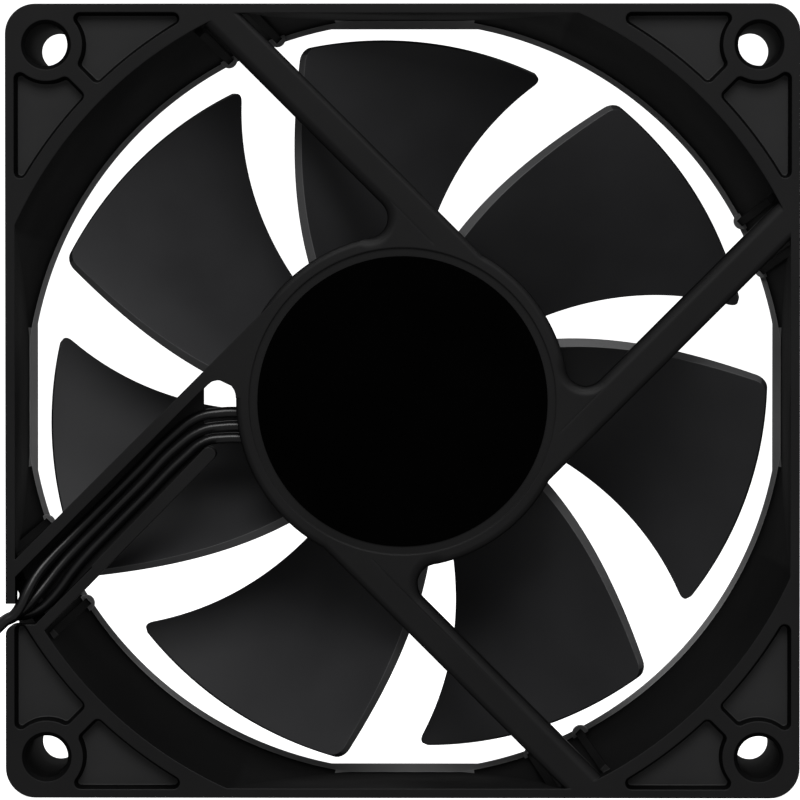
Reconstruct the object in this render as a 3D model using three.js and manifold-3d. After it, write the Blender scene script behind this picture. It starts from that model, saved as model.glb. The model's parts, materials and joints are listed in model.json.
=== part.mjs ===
// A 92 mm brushless case fan with a three wire lead.
//
// The fan is drawn lying in a frame of its own: X to the right and Y up as seen from the exhaust side, and Z along
// the airflow, with the intake face at Z = 0 and the exhaust face at Z = DEPTH. The fan group is then stood on its
// lower side, so that the exhaust face looks along -Y and the object stands on Z = 0. The leads outside the frame are
// drawn standing. All sizes are in millimetres.
import * as THREE from 'three';
import { mergeVertices } from 'three/addons/utils/BufferGeometryUtils.js';
import Module from 'manifold-3d';

const QUARTER = Math.PI / 2;
const wasm = await Module();
wasm.setup();

// Frame moulding
const SIDE = 92;
const DEPTH = 25;
const CORNER_R = 3.5;
const HOLE_OFFSET = 82.5 / 2;
const HOLE_R_EXHAUST = 2.44;
const HOLE_R_INTAKE = 2.15;
const HOLE_CHAMFER = 0.45;
const FLANGE_T = 4;
const THROAT_R = 44.77;
const THROAT_FLAT = 43.9;
const LEDGE_R = 45.4;
const LEDGE_Z = 1.6;
const MOUTH_R = 1.2;
const OPENING_R = 49.3;
const OPENING_FLAT = 44.9;
const DUCT_WALL = 1.4;
const DUCT_SIDE = 45.9;
const BOSS_R = 3.9;
const GUSSET_T = 1.6;
const OVERLAP = 0.5;
const POCKET_DEPTH = 2;
const POCKET_SIDE = 44.85;
const POCKET_ARC_R = 51;
const POCKET_BOSS_R = 4.34;
const POCKET_RIB = 1;
const POCKET_FILLET = 0.6;

// Hub base and struts
const BASE_R = 19.3;
const BASE_EDGE_R = 0.7;
const BASE_PLATE_Z = 23.4;
const SKIRT_R = 17.9;
const SKIRT_Z = 20.9;
const LABEL_RECESS_R = 17.8;
const LABEL_RECESS = 0.35;
const COLLAR_BORE_R = 4.72;
const COLLAR_R = 6.2;
const COLLAR_Z = 21.4;
const CAP_BORE_R = 4.2;
const STRUT_COUNT = 4;
const STRUT_INNER = 14.45;
const STRUT_OUTER = 18.5;
const STRUT_Z = 21.3;
const STRUT_INNER_ROUND = 1.2;
const STRUT_OUTER_ROUND = 0.7;
const STRUT_FILLET = 2.3;
const STRUT_REACH = 48.4;
const WEB_OVERLAP = 0.9;
const WEB_START = 0.5;
const WEB_ROOT = 0.82;
const RAIL_INNER = 17.35;
const RAIL_OUTER = 18.75;
const RAIL_FILLET = 2;
const GUARD_START = 20.2;
const GUARD_INNER = [10.75, 10.55];
const GUARD_OUTER = [12.35, 11.8];
const FLOOR_Z = [20.3, 20.9];
const FLOOR_EDGE_X = -23.16;
const FLOOR_Y = [8, 46];
const FLOOR_INSET = 0.4;
const NOTCH_TOP_Y = -23.5;
const NOTCH_LOW_Y = -25.9;
const NOTCH_ROUND = 1.2;
const NOTCH_START_X = -36;
const LEAD_SLOT_Y = [-5.3, -0.4];
const LEAD_SLOT_Z = 22.6;
const RIB_WIDTH = 0.9;
const RIB_HEIGHT = 0.7;
const RIB_TOP_Z = DEPTH - 1.5;
const RIB_ROOT = 1;
const PAD_R = 1;
const PAD_Z = [1.2, 2.5];
const STRUT_RIBS = [13.6, 19.45];
const CHANNEL_RIBS = [9.5, 19.6];

// Impeller
const BLADE_COUNT = 7;
const BLADE_T = 1.2;
const BLADE_ROOT_R = 18.3;
const BLADE_LOW_Z = [3.4, 4.6];
const BLADE_HIGH_Z = [19.2, 18.6];
const BLADE_CAMBER = 0.35;
const BLADE_STEPS = [6, 4];
const TIP_R_LEADING = 41.4;
const TIP_R_TRAILING = 42.5;
const HUB_R = 18.9;
const HUB_WALL_R = 17.75;
const HUB_Z = 2.4;
const HUB_FACE_T = 1.6;
const HUB_RIM_Z = 20;
const HUB_EDGE_R = 1.6;
const HUB_BOSS_R = 5.2;
const HUB_BOSS_Z = 7;

// Motor
const FIT = 0.1;
const SHAFT_R = 1.5;
const SHAFT_Z = [4.1, 20.6];
const SHAFT_CHAMFER = 0.25;
const GROOVE_R = 1.15;
const GROOVE_Z = [19.3, 19.8];
const CLIP_R = 2.6;
const CLIP_OPENING = 0.35;
const BUSH_R = 3.35;
const BUSH_Z = [4, 7.6];
const OIL_RING_R = 2.6;
const OIL_RING_Z = [8, 8.4];
const BEARING_BORE_R = SHAFT_R + 0.06;
const BEARING_R = 3.5;
const BEARING_Z = [9, 18.6];
const WASHER_R = [1.65, 3.3];
const WASHER_Z = [18.75, 19.1];
const TUBE_R = 4.6;
const TUBE_Z = [8.2, 23.3];
const CAP_PLUG_Z = 22;
const LABEL_R = 16.8;
const POLE_COUNT = 4;
const CORE_R = 14.3;
const CORE_Z = [9.8, 15.2];
const CORE_RING_R = 6.6;
const CORE_ARM = 3.4;
const SHOE_ANGLE = THREE.MathUtils.degToRad(74);
const SHOE_ROOT = 2.6;
const SHOE_T = 1;
const BOBBIN_PLATE = 0.7;
const BOBBIN_RING_R = 7.4;
const BOBBIN_ARM = 4.6;
const BOBBIN_LIP_R = 12.5;
const BOBBIN_LIP_T = 0.8;
const BOBBIN_LIP_HALF = 4;
const BOBBIN_UPPER_Z = 7.2;
const BOBBIN_LOWER_Z = 17.8;
const WINDING_R = [7.6, 11.1];
const WINDING_T = 1.3;
const WINDING_CORNER = 0.2;
const MAGNET_R = [14.9, 16.7];
const MAGNET_Z = [6, 17.8];
const YOKE_R = [16.8, 17.6];
const YOKE_FACE_T = 0.8;
const YOKE_RIM_Z = 18.8;
const BOARD_R = [4.9, 16.3];
const BOARD_Z = [19.3, 20.3];
const DRIVER_SIZE = new THREE.Vector3(2.9, 3, 1);
const CAPACITOR_SIZE = new THREE.Vector3(1.3, 2, 1.2);
const RESISTOR_SIZE = new THREE.Vector3(0.8, 1.6, 0.5);
const DRIVER_AT = [14.4, 45];
const CAPACITOR_AT = [9, 135];
const RESISTOR_AT = [9, 225];
const SOLDER_R = 0.65;
const SOLDER_X = -13.55;

// Leads
const WIRE_R = 0.63;
const WIRE_STEP = 3;
const EXIT_Y = [-1.35, -2.95, -4.35];
const TWIST_R = 0.8;
const TWIST_PITCH = 30;
const TWIST_LEAD = 8;
const SPREAD_R = 1.3;
const TWIST_STEP = 3.5;
const TWIST_START = -QUARTER / 3;
const COIL_CENTRE = new THREE.Vector2(-66, -2);
const COIL_INNER_R = 9.1;
const COIL_OUTER_R = 14.9;
const COIL_HEIGHT = 5.7;
const COIL_CORNER = 1.4;
const COIL_APPROACH = 12.6;
const TIE_ANGLE = THREE.MathUtils.degToRad(35);
const TIE_T = 0.6;
const TIE_GAP = 0.1;
const TIE_WIDTH = 2.5;
const TIE_SQUEEZE = 0.3;
const TIE_HEAD = new THREE.Vector3(4.4, 4, 2.6);
const HOUSING_SIZE = new THREE.Vector3(13, 7.6, 5.2);
const HOUSING_AT = new THREE.Vector3(-56.5, 16.7, 0);
const HOUSING_RIB = new THREE.Vector3(10, 0.9, 0.6);
const PIN_PITCH = 2.54;
const CAVITY = 2;
const CAVITY_Z = 2.6;
const CONTACT_SIDE = 1.7;
const CONTACT_BORE = 1;
const CONTACT_LENGTH = 7;
const CONTACT_INSET = 3.5;
const WIRE_END_GAP = 0.3;
const TAIL_SPREAD = 8;
const PIN_RUN = 4.5;

const DUCT_SEGMENTS = 72;
const HUB_SEGMENTS = 48;
const SMALL_SEGMENTS = 24;
const HOLE_SEGMENTS = 16;

const blackPlastic = new THREE.MeshStandardMaterial({ color: 0x1b1b1c, roughness: 0.55, metalness: 0 });
const labelFilm = new THREE.MeshStandardMaterial({ color: 0x050506, roughness: 0.35, metalness: 0 });
const steel = new THREE.MeshStandardMaterial({ color: 0xa9abad, roughness: 0.3, metalness: 1 });
const darkSteel = new THREE.MeshStandardMaterial({ color: 0x6c6e72, roughness: 0.45, metalness: 1 });
const ferrite = new THREE.MeshStandardMaterial({ color: 0x2a2a2d, roughness: 0.7, metalness: 0.2 });
const brass = new THREE.MeshStandardMaterial({ color: 0xb8923a, roughness: 0.35, metalness: 1 });
const bronze = new THREE.MeshStandardMaterial({ color: 0x8d6a45, roughness: 0.6, metalness: 0.8 });
const copper = new THREE.MeshStandardMaterial({ color: 0xb5622f, roughness: 0.4, metalness: 0.9 });
const nylon = new THREE.MeshStandardMaterial({ color: 0xd8d4c6, roughness: 0.5, metalness: 0 });
const rubber = new THREE.MeshStandardMaterial({ color: 0x222222, roughness: 0.85, metalness: 0 });
const boardResin = new THREE.MeshStandardMaterial({ color: 0x1f5a35, roughness: 0.5, metalness: 0 });
const solder = new THREE.MeshStandardMaterial({ color: 0xb9bcc0, roughness: 0.3, metalness: 1 });
const ceramic = new THREE.MeshStandardMaterial({ color: 0x9a7f5c, roughness: 0.6, metalness: 0 });
const wireSleeve = new THREE.MeshStandardMaterial({ color: 0x0c0c0d, roughness: 0.3, metalness: 0 });

const object = new THREE.Group();
const fan = new THREE.Group();
fan.rotation.x = QUARTER;
fan.position.set(0, DEPTH / 2, SIDE / 2);
object.add(fan);

function addPart(group, name, geometry, material) {
  const mesh = new THREE.Mesh(geometry, material);
  mesh.name = name;
  group.add(mesh);
}

// ---- Solids -------------------------------------------------------------------------------------------------------

function solidOf(geometry) {
  const bare = geometry.clone();
  bare.deleteAttribute('normal');
  bare.deleteAttribute('uv');
  const merged = mergeVertices(bare);
  const corners = merged.index.array;
  const kept = [];
  for (let i = 0; i < corners.length; i += 3) {
    const [a, b, c] = [corners[i], corners[i + 1], corners[i + 2]];
    if (a !== b && b !== c && c !== a) kept.push(a, b, c);
  }
  const vertProperties = new Float32Array(merged.attributes.position.array);
  return new wasm.Manifold(new wasm.Mesh({ numProp: 3, vertProperties, triVerts: new Uint32Array(kept) }));
}

function geometryOf(solid) {
  const mesh = solid.getMesh();
  const geometry = new THREE.BufferGeometry();
  geometry.setAttribute('position', new THREE.BufferAttribute(new Float32Array(mesh.vertProperties), 3));
  geometry.setIndex(new THREE.BufferAttribute(new Uint32Array(mesh.triVerts), 1));
  geometry.computeVertexNormals();
  return geometry;
}

function joined(solids) {
  return solids.reduce((whole, next) => whole.add(next));
}

// A body of revolution about Z from a list of [radius, z] corners, walked with the material on the left.
function turned(profile, segments) {
  const corners = profile.map(([r, z]) => new THREE.Vector2(r, z));
  return new THREE.LatheGeometry(corners, segments).rotateX(QUARTER);
}

function tubeRing(innerR, outerR, lowZ, highZ, segments) {
  return turned([[innerR, lowZ], [outerR, lowZ], [outerR, highZ], [innerR, highZ], [innerR, lowZ]], segments);
}

function circlePath(radius, segments) {
  const points = [];
  for (let i = 0; i < segments; i += 1) {
    const angle = (-4 * QUARTER * i) / segments;
    points.push(new THREE.Vector2(radius * Math.cos(angle), radius * Math.sin(angle)));
  }
  return new THREE.Path(points);
}

function plateOf(shape, lowZ, highZ, curveSegments = 4) {
  const settings = { depth: highZ - lowZ, bevelEnabled: false, curveSegments };
  return new THREE.ExtrudeGeometry(shape, settings).translate(0, 0, lowZ);
}

function block(low, high) {
  const size = high.clone().sub(low);
  const middle = high.clone().add(low).multiplyScalar(0.5);
  return new THREE.BoxGeometry(size.x, size.y, size.z).translate(middle.x, middle.y, middle.z);
}

function outline(points) {
  return new THREE.Shape(points.map(([x, y]) => new THREE.Vector2(x, y)));
}

function roundedRectangle(width, height, radius, Type = THREE.Shape) {
  const x = width / 2 - radius;
  const y = height / 2 - radius;
  const shape = new Type();
  shape.absarc(x, y, radius, 0, QUARTER, false);
  shape.absarc(-x, y, radius, QUARTER, 2 * QUARTER, false);
  shape.absarc(-x, -y, radius, 2 * QUARTER, 3 * QUARTER, false);
  shape.absarc(x, -y, radius, 3 * QUARTER, 4 * QUARTER, false);
  shape.closePath();
  return shape;
}

// Corner points of an arc, for an outline or a turned profile.
function profileArc(centreX, centreY, radius, from, to, steps) {
  const points = [];
  for (let i = 0; i <= steps; i += 1) {
    const angle = from + (to - from) * (i / steps);
    points.push([centreX + radius * Math.cos(angle), centreY + radius * Math.sin(angle)]);
  }
  return points;
}

// ---- Frame moulding -----------------------------------------------------------------------------------------------

function ductRadius(z) {
  return LEDGE_R + (OPENING_R - LEDGE_R) * ((z - LEDGE_Z) / (DEPTH - LEDGE_Z));
}

// The air passage's side from the rounded mouth to the exhaust face, as [distance, z] points.
function passageSide(throat, ledge, opening) {
  const mouth = profileArc(throat + MOUTH_R, MOUTH_R, MOUTH_R, -QUARTER, -2 * QUARTER, 4);
  return [
    [throat + MOUTH_R, -1], ...mouth, [throat, LEDGE_Z], [ledge, LEDGE_Z], [opening, DEPTH], [opening, DEPTH + 1],
  ];
}

// A flared round passage, cut flat on the four sides of the frame.
function airPassage() {
  const profile = [[0, -1], ...passageSide(THROAT_R, LEDGE_R, OPENING_R), [0, DEPTH + 1]];
  let passage = solidOf(turned(profile, DUCT_SEGMENTS));
  const side = passageSide(THROAT_FLAT, OPENING_FLAT, OPENING_FLAT);
  const section = outline([...side, ...side.map(([x, z]) => [-x, z]).reverse()]);
  for (const turn of [0, 1]) {
    const flats = new THREE.ExtrudeGeometry(section, { depth: 2 * SIDE, bevelEnabled: false });
    flats.rotateX(QUARTER).translate(0, SIDE, 0).rotateZ(turn * QUARTER);
    passage = passage.intersect(solidOf(flats));
  }
  return passage;
}

function ductOutside() {
  const lowZ = OVERLAP;
  const highZ = DEPTH - OVERLAP;
  const profile = [[0, lowZ], [ductRadius(lowZ) + DUCT_WALL, lowZ], [OPENING_R + DUCT_WALL, highZ], [0, highZ]];
  const low = new THREE.Vector3(-DUCT_SIDE, -DUCT_SIDE, 0);
  const high = new THREE.Vector3(DUCT_SIDE, DUCT_SIDE, DEPTH);
  return solidOf(turned(profile, DUCT_SEGMENTS)).intersect(solidOf(block(low, high)));
}

function flange(lowZ, highZ) {
  return solidOf(plateOf(roundedRectangle(SIDE, SIDE, CORNER_R), lowZ, highZ));
}

// One boss with the gusset that ties it to the duct, drawn on the +X axis and turned onto a diagonal.
function cornerBoss(angle) {
  const reach = Math.hypot(HOLE_OFFSET, HOLE_OFFSET);
  const lowZ = FLANGE_T - OVERLAP;
  const highZ = DEPTH - FLANGE_T + OVERLAP;
  const boss = new THREE.CylinderGeometry(BOSS_R, BOSS_R, highZ - lowZ, HOLE_SEGMENTS);
  boss.rotateX(QUARTER).translate(reach, 0, (lowZ + highZ) / 2);
  const low = new THREE.Vector3(THROAT_R + DUCT_WALL, -GUSSET_T / 2, lowZ);
  const high = new THREE.Vector3(reach, GUSSET_T / 2, highZ);
  return solidOf(boss.rotateZ(angle)).add(solidOf(block(low, high).rotateZ(angle)));
}

function screwHole(angle) {
  const chamferR = HOLE_R_EXHAUST + HOLE_CHAMFER;
  const profile = [
    [0, -1], [HOLE_R_INTAKE + HOLE_CHAMFER, -1], [HOLE_R_INTAKE + HOLE_CHAMFER, 0], [HOLE_R_INTAKE, HOLE_CHAMFER],
    [HOLE_R_EXHAUST, DEPTH - HOLE_CHAMFER], [chamferR, DEPTH], [chamferR, DEPTH + 1], [0, DEPTH + 1],
  ];
  const reach = Math.hypot(HOLE_OFFSET, HOLE_OFFSET);
  return solidOf(turned(profile, HOLE_SEGMENTS).translate(reach, 0, 0).rotateZ(angle));
}

// The recess beside a screw hole in the upper right corner: a straight side along the frame's edge, an arc along the
// opening, an edge along the diagonal rib and a hollow around the boss, all joined by fillets.
function pocketShape() {
  const f = POCKET_FILLET;
  const hole = new THREE.Vector2(HOLE_OFFSET, HOLE_OFFSET);
  const edgeY = POCKET_SIDE - f;
  const arcR = POCKET_ARC_R + f;
  const bossR = POCKET_BOSS_R + f;
  const ribOffset = POCKET_RIB + f;
  const far = new THREE.Vector2(Math.sqrt(arcR ** 2 - edgeY ** 2), edgeY);
  const alongDiagonal = new THREE.Vector2(1, 1).normalize();
  const offDiagonal = new THREE.Vector2(-1, 1).normalize().multiplyScalar(ribOffset);
  const low = alongDiagonal.clone().multiplyScalar(Math.sqrt(arcR ** 2 - ribOffset ** 2)).add(offDiagonal);
  const holeReach = hole.length() - Math.sqrt(bossR ** 2 - ribOffset ** 2);
  const near = alongDiagonal.clone().multiplyScalar(holeReach).add(offDiagonal);
  const top = new THREE.Vector2(hole.x - Math.sqrt(bossR ** 2 - (hole.y - edgeY) ** 2), edgeY);
  const angleTo = (from, to) => Math.atan2(to.y - from.y, to.x - from.x);
  const origin = new THREE.Vector2(0, 0);
  const shape = new THREE.Shape();
  shape.absarc(far.x, far.y, f, QUARTER, angleTo(far, origin), false);
  shape.absarc(0, 0, POCKET_ARC_R, angleTo(origin, far), angleTo(origin, low), true);
  shape.absarc(low.x, low.y, f, angleTo(low, origin), -QUARTER / 2, false);
  shape.absarc(near.x, near.y, f, -QUARTER / 2, angleTo(near, hole), false);
  shape.absarc(hole.x, hole.y, POCKET_BOSS_R, angleTo(hole, near), angleTo(hole, top), true);
  shape.absarc(top.x, top.y, f, angleTo(top, hole), QUARTER, false);
  shape.closePath();
  return shape;
}

function pockets() {
  const upper = solidOf(plateOf(pocketShape(), DEPTH - POCKET_DEPTH, DEPTH + 1, 2));
  const lower = upper.mirror([1, -1, 0]);
  const pair = upper.add(lower);
  const all = [];
  for (let corner = 0; corner < 4; corner += 1) {
    all.push(pair.rotate([0, 0, 90 * corner]));
  }
  return joined(all);
}

function hubBase() {
  const edge = profileArc(BASE_R - BASE_EDGE_R, DEPTH - BASE_EDGE_R, BASE_EDGE_R, 0, QUARTER, 3);
  const recessZ = DEPTH - LABEL_RECESS;
  const profile = [
    [COLLAR_BORE_R, COLLAR_Z], [COLLAR_R, COLLAR_Z], [COLLAR_R, BASE_PLATE_Z], [SKIRT_R, BASE_PLATE_Z],
    [SKIRT_R, SKIRT_Z], [BASE_R, SKIRT_Z], ...edge, [LABEL_RECESS_R, DEPTH], [LABEL_RECESS_R, recessZ],
    [CAP_BORE_R, recessZ], [CAP_BORE_R, BASE_PLATE_Z], [COLLAR_BORE_R, BASE_PLATE_Z], [COLLAR_BORE_R, COLLAR_Z],
  ];
  return solidOf(turned(profile, HUB_SEGMENTS));
}

// Struts leave the hub base as a pinwheel. A strut is drawn along +Y at the distance X from the centre, and turned by
// this angle.
function strutAngle(index) {
  return (0.5 - index) * QUARTER;
}

function strutBar(index) {
  const section = new THREE.Shape();
  const roundZ = DEPTH - STRUT_OUTER_ROUND;
  section.moveTo(STRUT_INNER, STRUT_Z);
  section.lineTo(STRUT_OUTER, STRUT_Z);
  section.absarc(STRUT_OUTER - STRUT_OUTER_ROUND, roundZ, STRUT_OUTER_ROUND, 0, QUARTER, false);
  section.absarc(STRUT_INNER + STRUT_INNER_ROUND, DEPTH - STRUT_INNER_ROUND, STRUT_INNER_ROUND, QUARTER, 2 * QUARTER);
  section.closePath();
  const bar = new THREE.ExtrudeGeometry(section, { depth: STRUT_REACH, bevelEnabled: false, curveSegments: 2 });
  bar.rotateX(QUARTER).translate(0, STRUT_REACH, 0);
  return solidOf(bar.rotateZ(strutAngle(index)));
}

// The web that rounds the inner corner between the hub base and a bar whose inner edge is at the given distance.
function cornerWeb(index, edge, radius, lowZ) {
  const centreX = edge - radius;
  const centreY = Math.sqrt((BASE_R + radius) ** 2 - centreX ** 2);
  const toHub = Math.atan2(-centreY, -centreX);
  const shape = new THREE.Shape();
  shape.moveTo(edge + WEB_OVERLAP, centreY);
  shape.lineTo(edge + WEB_OVERLAP, centreY * WEB_START);
  shape.lineTo(centreX * WEB_ROOT, centreY * WEB_ROOT);
  shape.absarc(centreX, centreY, radius, toHub, 0, false);
  shape.closePath();
  return solidOf(plateOf(shape, lowZ, DEPTH, 3).rotateZ(strutAngle(index)));
}

function leadChannel() {
  const index = STRUT_COUNT - 1;
  const angle = strutAngle(index);
  const rail = outline([[RAIL_INNER, 1], [RAIL_OUTER, 1], [RAIL_OUTER, STRUT_REACH], [RAIL_INNER, STRUT_REACH]]);
  const endR = (GUARD_OUTER[0] - GUARD_INNER[0]) / 2;
  const guard = new THREE.Shape();
  guard.absarc(GUARD_INNER[0] + endR, GUARD_START, endR, -2 * QUARTER, 0, false);
  guard.lineTo(GUARD_OUTER[1], STRUT_REACH);
  guard.lineTo(GUARD_INNER[1], STRUT_REACH);
  guard.closePath();
  const floor = outline([
    [GUARD_INNER[0], GUARD_START], [RAIL_OUTER - FLOOR_INSET, FLOOR_Y[0]], [RAIL_OUTER - FLOOR_INSET, FLOOR_Y[1]],
    [GUARD_INNER[1], FLOOR_Y[1]],
  ]);
  const walls = solidOf(plateOf(rail, FLOOR_Z[0], DEPTH).rotateZ(angle));
  const guardWall = solidOf(plateOf(guard, FLOOR_Z[0], DEPTH).rotateZ(angle));
  const low = new THREE.Vector3(FLOOR_EDGE_X, -SIDE, 0);
  const clipped = solidOf(plateOf(floor, FLOOR_Z[0], FLOOR_Z[1]).rotateZ(angle));
  const openSide = solidOf(block(low, new THREE.Vector3(0, SIDE, DEPTH)));
  const web = cornerWeb(index, RAIL_INNER, RAIL_FILLET, FLOOR_Z[0]);
  return joined([walls, guardWall, clipped.subtract(openSide), web]);
}

// The channel runs on through the flange and leaves the frame by a notch in its left side.
function leadNotch() {
  const side = -OPENING_FLAT;
  const root = Math.SQRT2;
  const lowCorner = NOTCH_LOW_Y - NOTCH_ROUND;
  const notch = outline([
    [side, side + RAIL_INNER * root], [side, NOTCH_TOP_Y], [-SIDE, NOTCH_TOP_Y], [-SIDE, lowCorner],
    ...profileArc(NOTCH_ROUND - SIDE / 2, lowCorner, NOTCH_ROUND, 2 * QUARTER, QUARTER, 4),
    [NOTCH_LOW_Y - GUARD_OUTER[1] * root, NOTCH_LOW_Y], [NOTCH_START_X, NOTCH_START_X + GUARD_OUTER[1] * root],
    [NOTCH_START_X, NOTCH_START_X + RAIL_INNER * root],
  ]);
  return solidOf(plateOf(notch, FLOOR_Z[1], DEPTH + 1));
}

function hubLeadSlot() {
  const low = new THREE.Vector3(-BASE_R - 1, LEAD_SLOT_Y[0], SKIRT_Z - 1);
  const high = new THREE.Vector3(-SKIRT_R + 1, LEAD_SLOT_Y[1], LEAD_SLOT_Z);
  return solidOf(block(low, high));
}

// A low rib up the duct wall beside a strut, with a round pad at its foot on the ledge.
function wallRib(index, offset) {
  const footY = Math.sqrt(ductRadius(LEDGE_Z) ** 2 - offset ** 2);
  const topY = Math.sqrt(ductRadius(RIB_TOP_Z) ** 2 - offset ** 2);
  const lowZ = LEDGE_Z - OVERLAP;
  const side = outline([
    [footY - RIB_HEIGHT, lowZ], [footY + RIB_ROOT, lowZ], [topY + RIB_ROOT, RIB_TOP_Z],
    [topY - RIB_HEIGHT, RIB_TOP_Z],
  ]);
  const rib = new THREE.ExtrudeGeometry(side, { depth: RIB_WIDTH, bevelEnabled: false });
  rib.rotateX(QUARTER).rotateZ(QUARTER).translate(offset - RIB_WIDTH / 2, 0, 0);
  const pad = new THREE.CylinderGeometry(PAD_R, PAD_R, PAD_Z[1] - PAD_Z[0], 10).rotateX(QUARTER);
  pad.translate(offset, footY, (PAD_Z[0] + PAD_Z[1]) / 2);
  const whole = solidOf(rib).add(solidOf(pad));
  return whole.rotate([0, 0, THREE.MathUtils.radToDeg(strutAngle(index))]);
}

function wallRibs() {
  const ribs = [];
  for (let index = 0; index < STRUT_COUNT; index += 1) {
    const offsets = index === STRUT_COUNT - 1 ? CHANNEL_RIBS : STRUT_RIBS;
    offsets.forEach((offset) => ribs.push(wallRib(index, offset)));
  }
  return joined(ribs);
}

function frameHousing() {
  let frame = joined([flange(0, FLANGE_T), flange(DEPTH - FLANGE_T, DEPTH), ductOutside()]);
  for (let corner = 0; corner < 4; corner += 1) {
    frame = frame.add(cornerBoss((corner + 0.5) * QUARTER));
  }
  const envelope = frame;
  frame = frame.subtract(airPassage());
  const inside = [wallRibs()];
  for (let index = 0; index < STRUT_COUNT - 1; index += 1) {
    inside.push(strutBar(index), cornerWeb(index, STRUT_INNER, STRUT_FILLET, STRUT_Z));
  }
  inside.push(leadChannel());
  frame = frame.add(joined(inside).intersect(envelope.add(airPassage())));
  frame = frame.subtract(hubHollow()).add(hubBase());
  frame = frame.subtract(pockets()).subtract(leadNotch()).subtract(hubLeadSlot());
  for (let corner = 0; corner < 4; corner += 1) {
    frame = frame.subtract(screwHole((corner + 0.5) * QUARTER));
  }
  return frame;
}

// The struts and the channel stop at the hub base's rim.
function hubHollow() {
  const r = (SKIRT_R + BASE_R) / 2;
  return solidOf(turned([[0, 0], [r, 0], [r, DEPTH + 1], [0, DEPTH + 1]], HUB_SEGMENTS));
}

// ---- Label, bearing and stator ------------------------------------------------------------------------------------

function labelDisc() {
  const lowZ = DEPTH - LABEL_RECESS + FIT / 2;
  return turned([[0, lowZ], [LABEL_R, lowZ], [LABEL_R, DEPTH - FIT], [0, DEPTH - FIT]], HUB_SEGMENTS);
}

function dustCap() {
  const plugR = BEARING_R - FIT;
  const flangeR = CAP_BORE_R - FIT;
  const flangeZ = BASE_PLATE_Z + FIT;
  return turned([
    [0, CAP_PLUG_Z], [plugR, CAP_PLUG_Z], [plugR, flangeZ], [flangeR, flangeZ],
    [flangeR, DEPTH - LABEL_RECESS - FIT], [0, DEPTH - LABEL_RECESS - FIT],
  ], SMALL_SEGMENTS);
}

function statorShape(ringInner, ringOuter, armWidth, armEnd) {
  const shape = new THREE.Shape();
  const half = armWidth / 2;
  const ringX = Math.sqrt(ringOuter ** 2 - half ** 2);
  const shoeHalf = SHOE_ANGLE / 2;
  for (let pole = 0; pole < POLE_COUNT; pole += 1) {
    const angle = pole * QUARTER;
    const place = (x, y) => [x * Math.cos(angle) - y * Math.sin(angle), x * Math.sin(angle) + y * Math.cos(angle)];
    if (pole === 0) shape.moveTo(...place(ringX, -half));
    shape.lineTo(...place(armEnd - SHOE_ROOT, -half));
    shape.lineTo(...place((armEnd - SHOE_T) * Math.cos(shoeHalf), -(armEnd - SHOE_T) * Math.sin(shoeHalf)));
    shape.absarc(0, 0, armEnd, angle - shoeHalf, angle + shoeHalf, false);
    shape.lineTo(...place((armEnd - SHOE_T) * Math.cos(shoeHalf), (armEnd - SHOE_T) * Math.sin(shoeHalf)));
    shape.lineTo(...place(armEnd - SHOE_ROOT, half));
    shape.lineTo(...place(ringX, half));
    const ringAngle = Math.atan2(half, ringX);
    shape.absarc(0, 0, ringOuter, angle + ringAngle, angle + QUARTER - ringAngle, false);
  }
  shape.closePath();
  shape.holes.push(circlePath(ringInner, SMALL_SEGMENTS));
  return shape;
}

function statorCore() {
  return plateOf(statorShape(TUBE_R + FIT, CORE_RING_R, CORE_ARM, CORE_R), CORE_Z[0], CORE_Z[1], 4);
}

// A bobbin half: a thin plate on the core with a raised ring inside the windings and a raised lip outside each one.
// The lower half's lips carry the circuit board.
function insulator(ringZ, plateZ, lipZ) {
  const shape = new THREE.Shape();
  const half = BOBBIN_ARM / 2;
  shape.absarc(0, 0, BOBBIN_RING_R, 0, 4 * QUARTER, false);
  shape.holes.push(circlePath(TUBE_R + FIT, SMALL_SEGMENTS));
  const solids = [solidOf(plateOf(shape, ...ringZ, SMALL_SEGMENTS / 2))];
  for (let pole = 0; pole < POLE_COUNT; pole += 1) {
    const low = new THREE.Vector3(CORE_RING_R, -half, plateZ[0]);
    const high = new THREE.Vector3(BOBBIN_LIP_R, half, plateZ[1]);
    const lipLow = new THREE.Vector3(BOBBIN_LIP_R - BOBBIN_LIP_T, -BOBBIN_LIP_HALF, lipZ[0]);
    const lipHigh = new THREE.Vector3(BOBBIN_LIP_R, BOBBIN_LIP_HALF, lipZ[1]);
    const arm = block(low, high).rotateZ(pole * QUARTER);
    const lip = block(lipLow, lipHigh).rotateZ(pole * QUARTER);
    solids.push(solidOf(arm), solidOf(lip));
  }
  return geometryOf(joined(solids));
}

function upperInsulator() {
  const highZ = CORE_Z[0] - FIT;
  return insulator([BOBBIN_UPPER_Z, highZ], [highZ - BOBBIN_PLATE, highZ], [BOBBIN_UPPER_Z, highZ]);
}

function lowerInsulator() {
  const lowZ = CORE_Z[1] + FIT;
  return insulator([lowZ, BOBBIN_LOWER_Z], [lowZ, lowZ + BOBBIN_PLATE], [lowZ, BOARD_Z[0] - FIT]);
}

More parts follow.
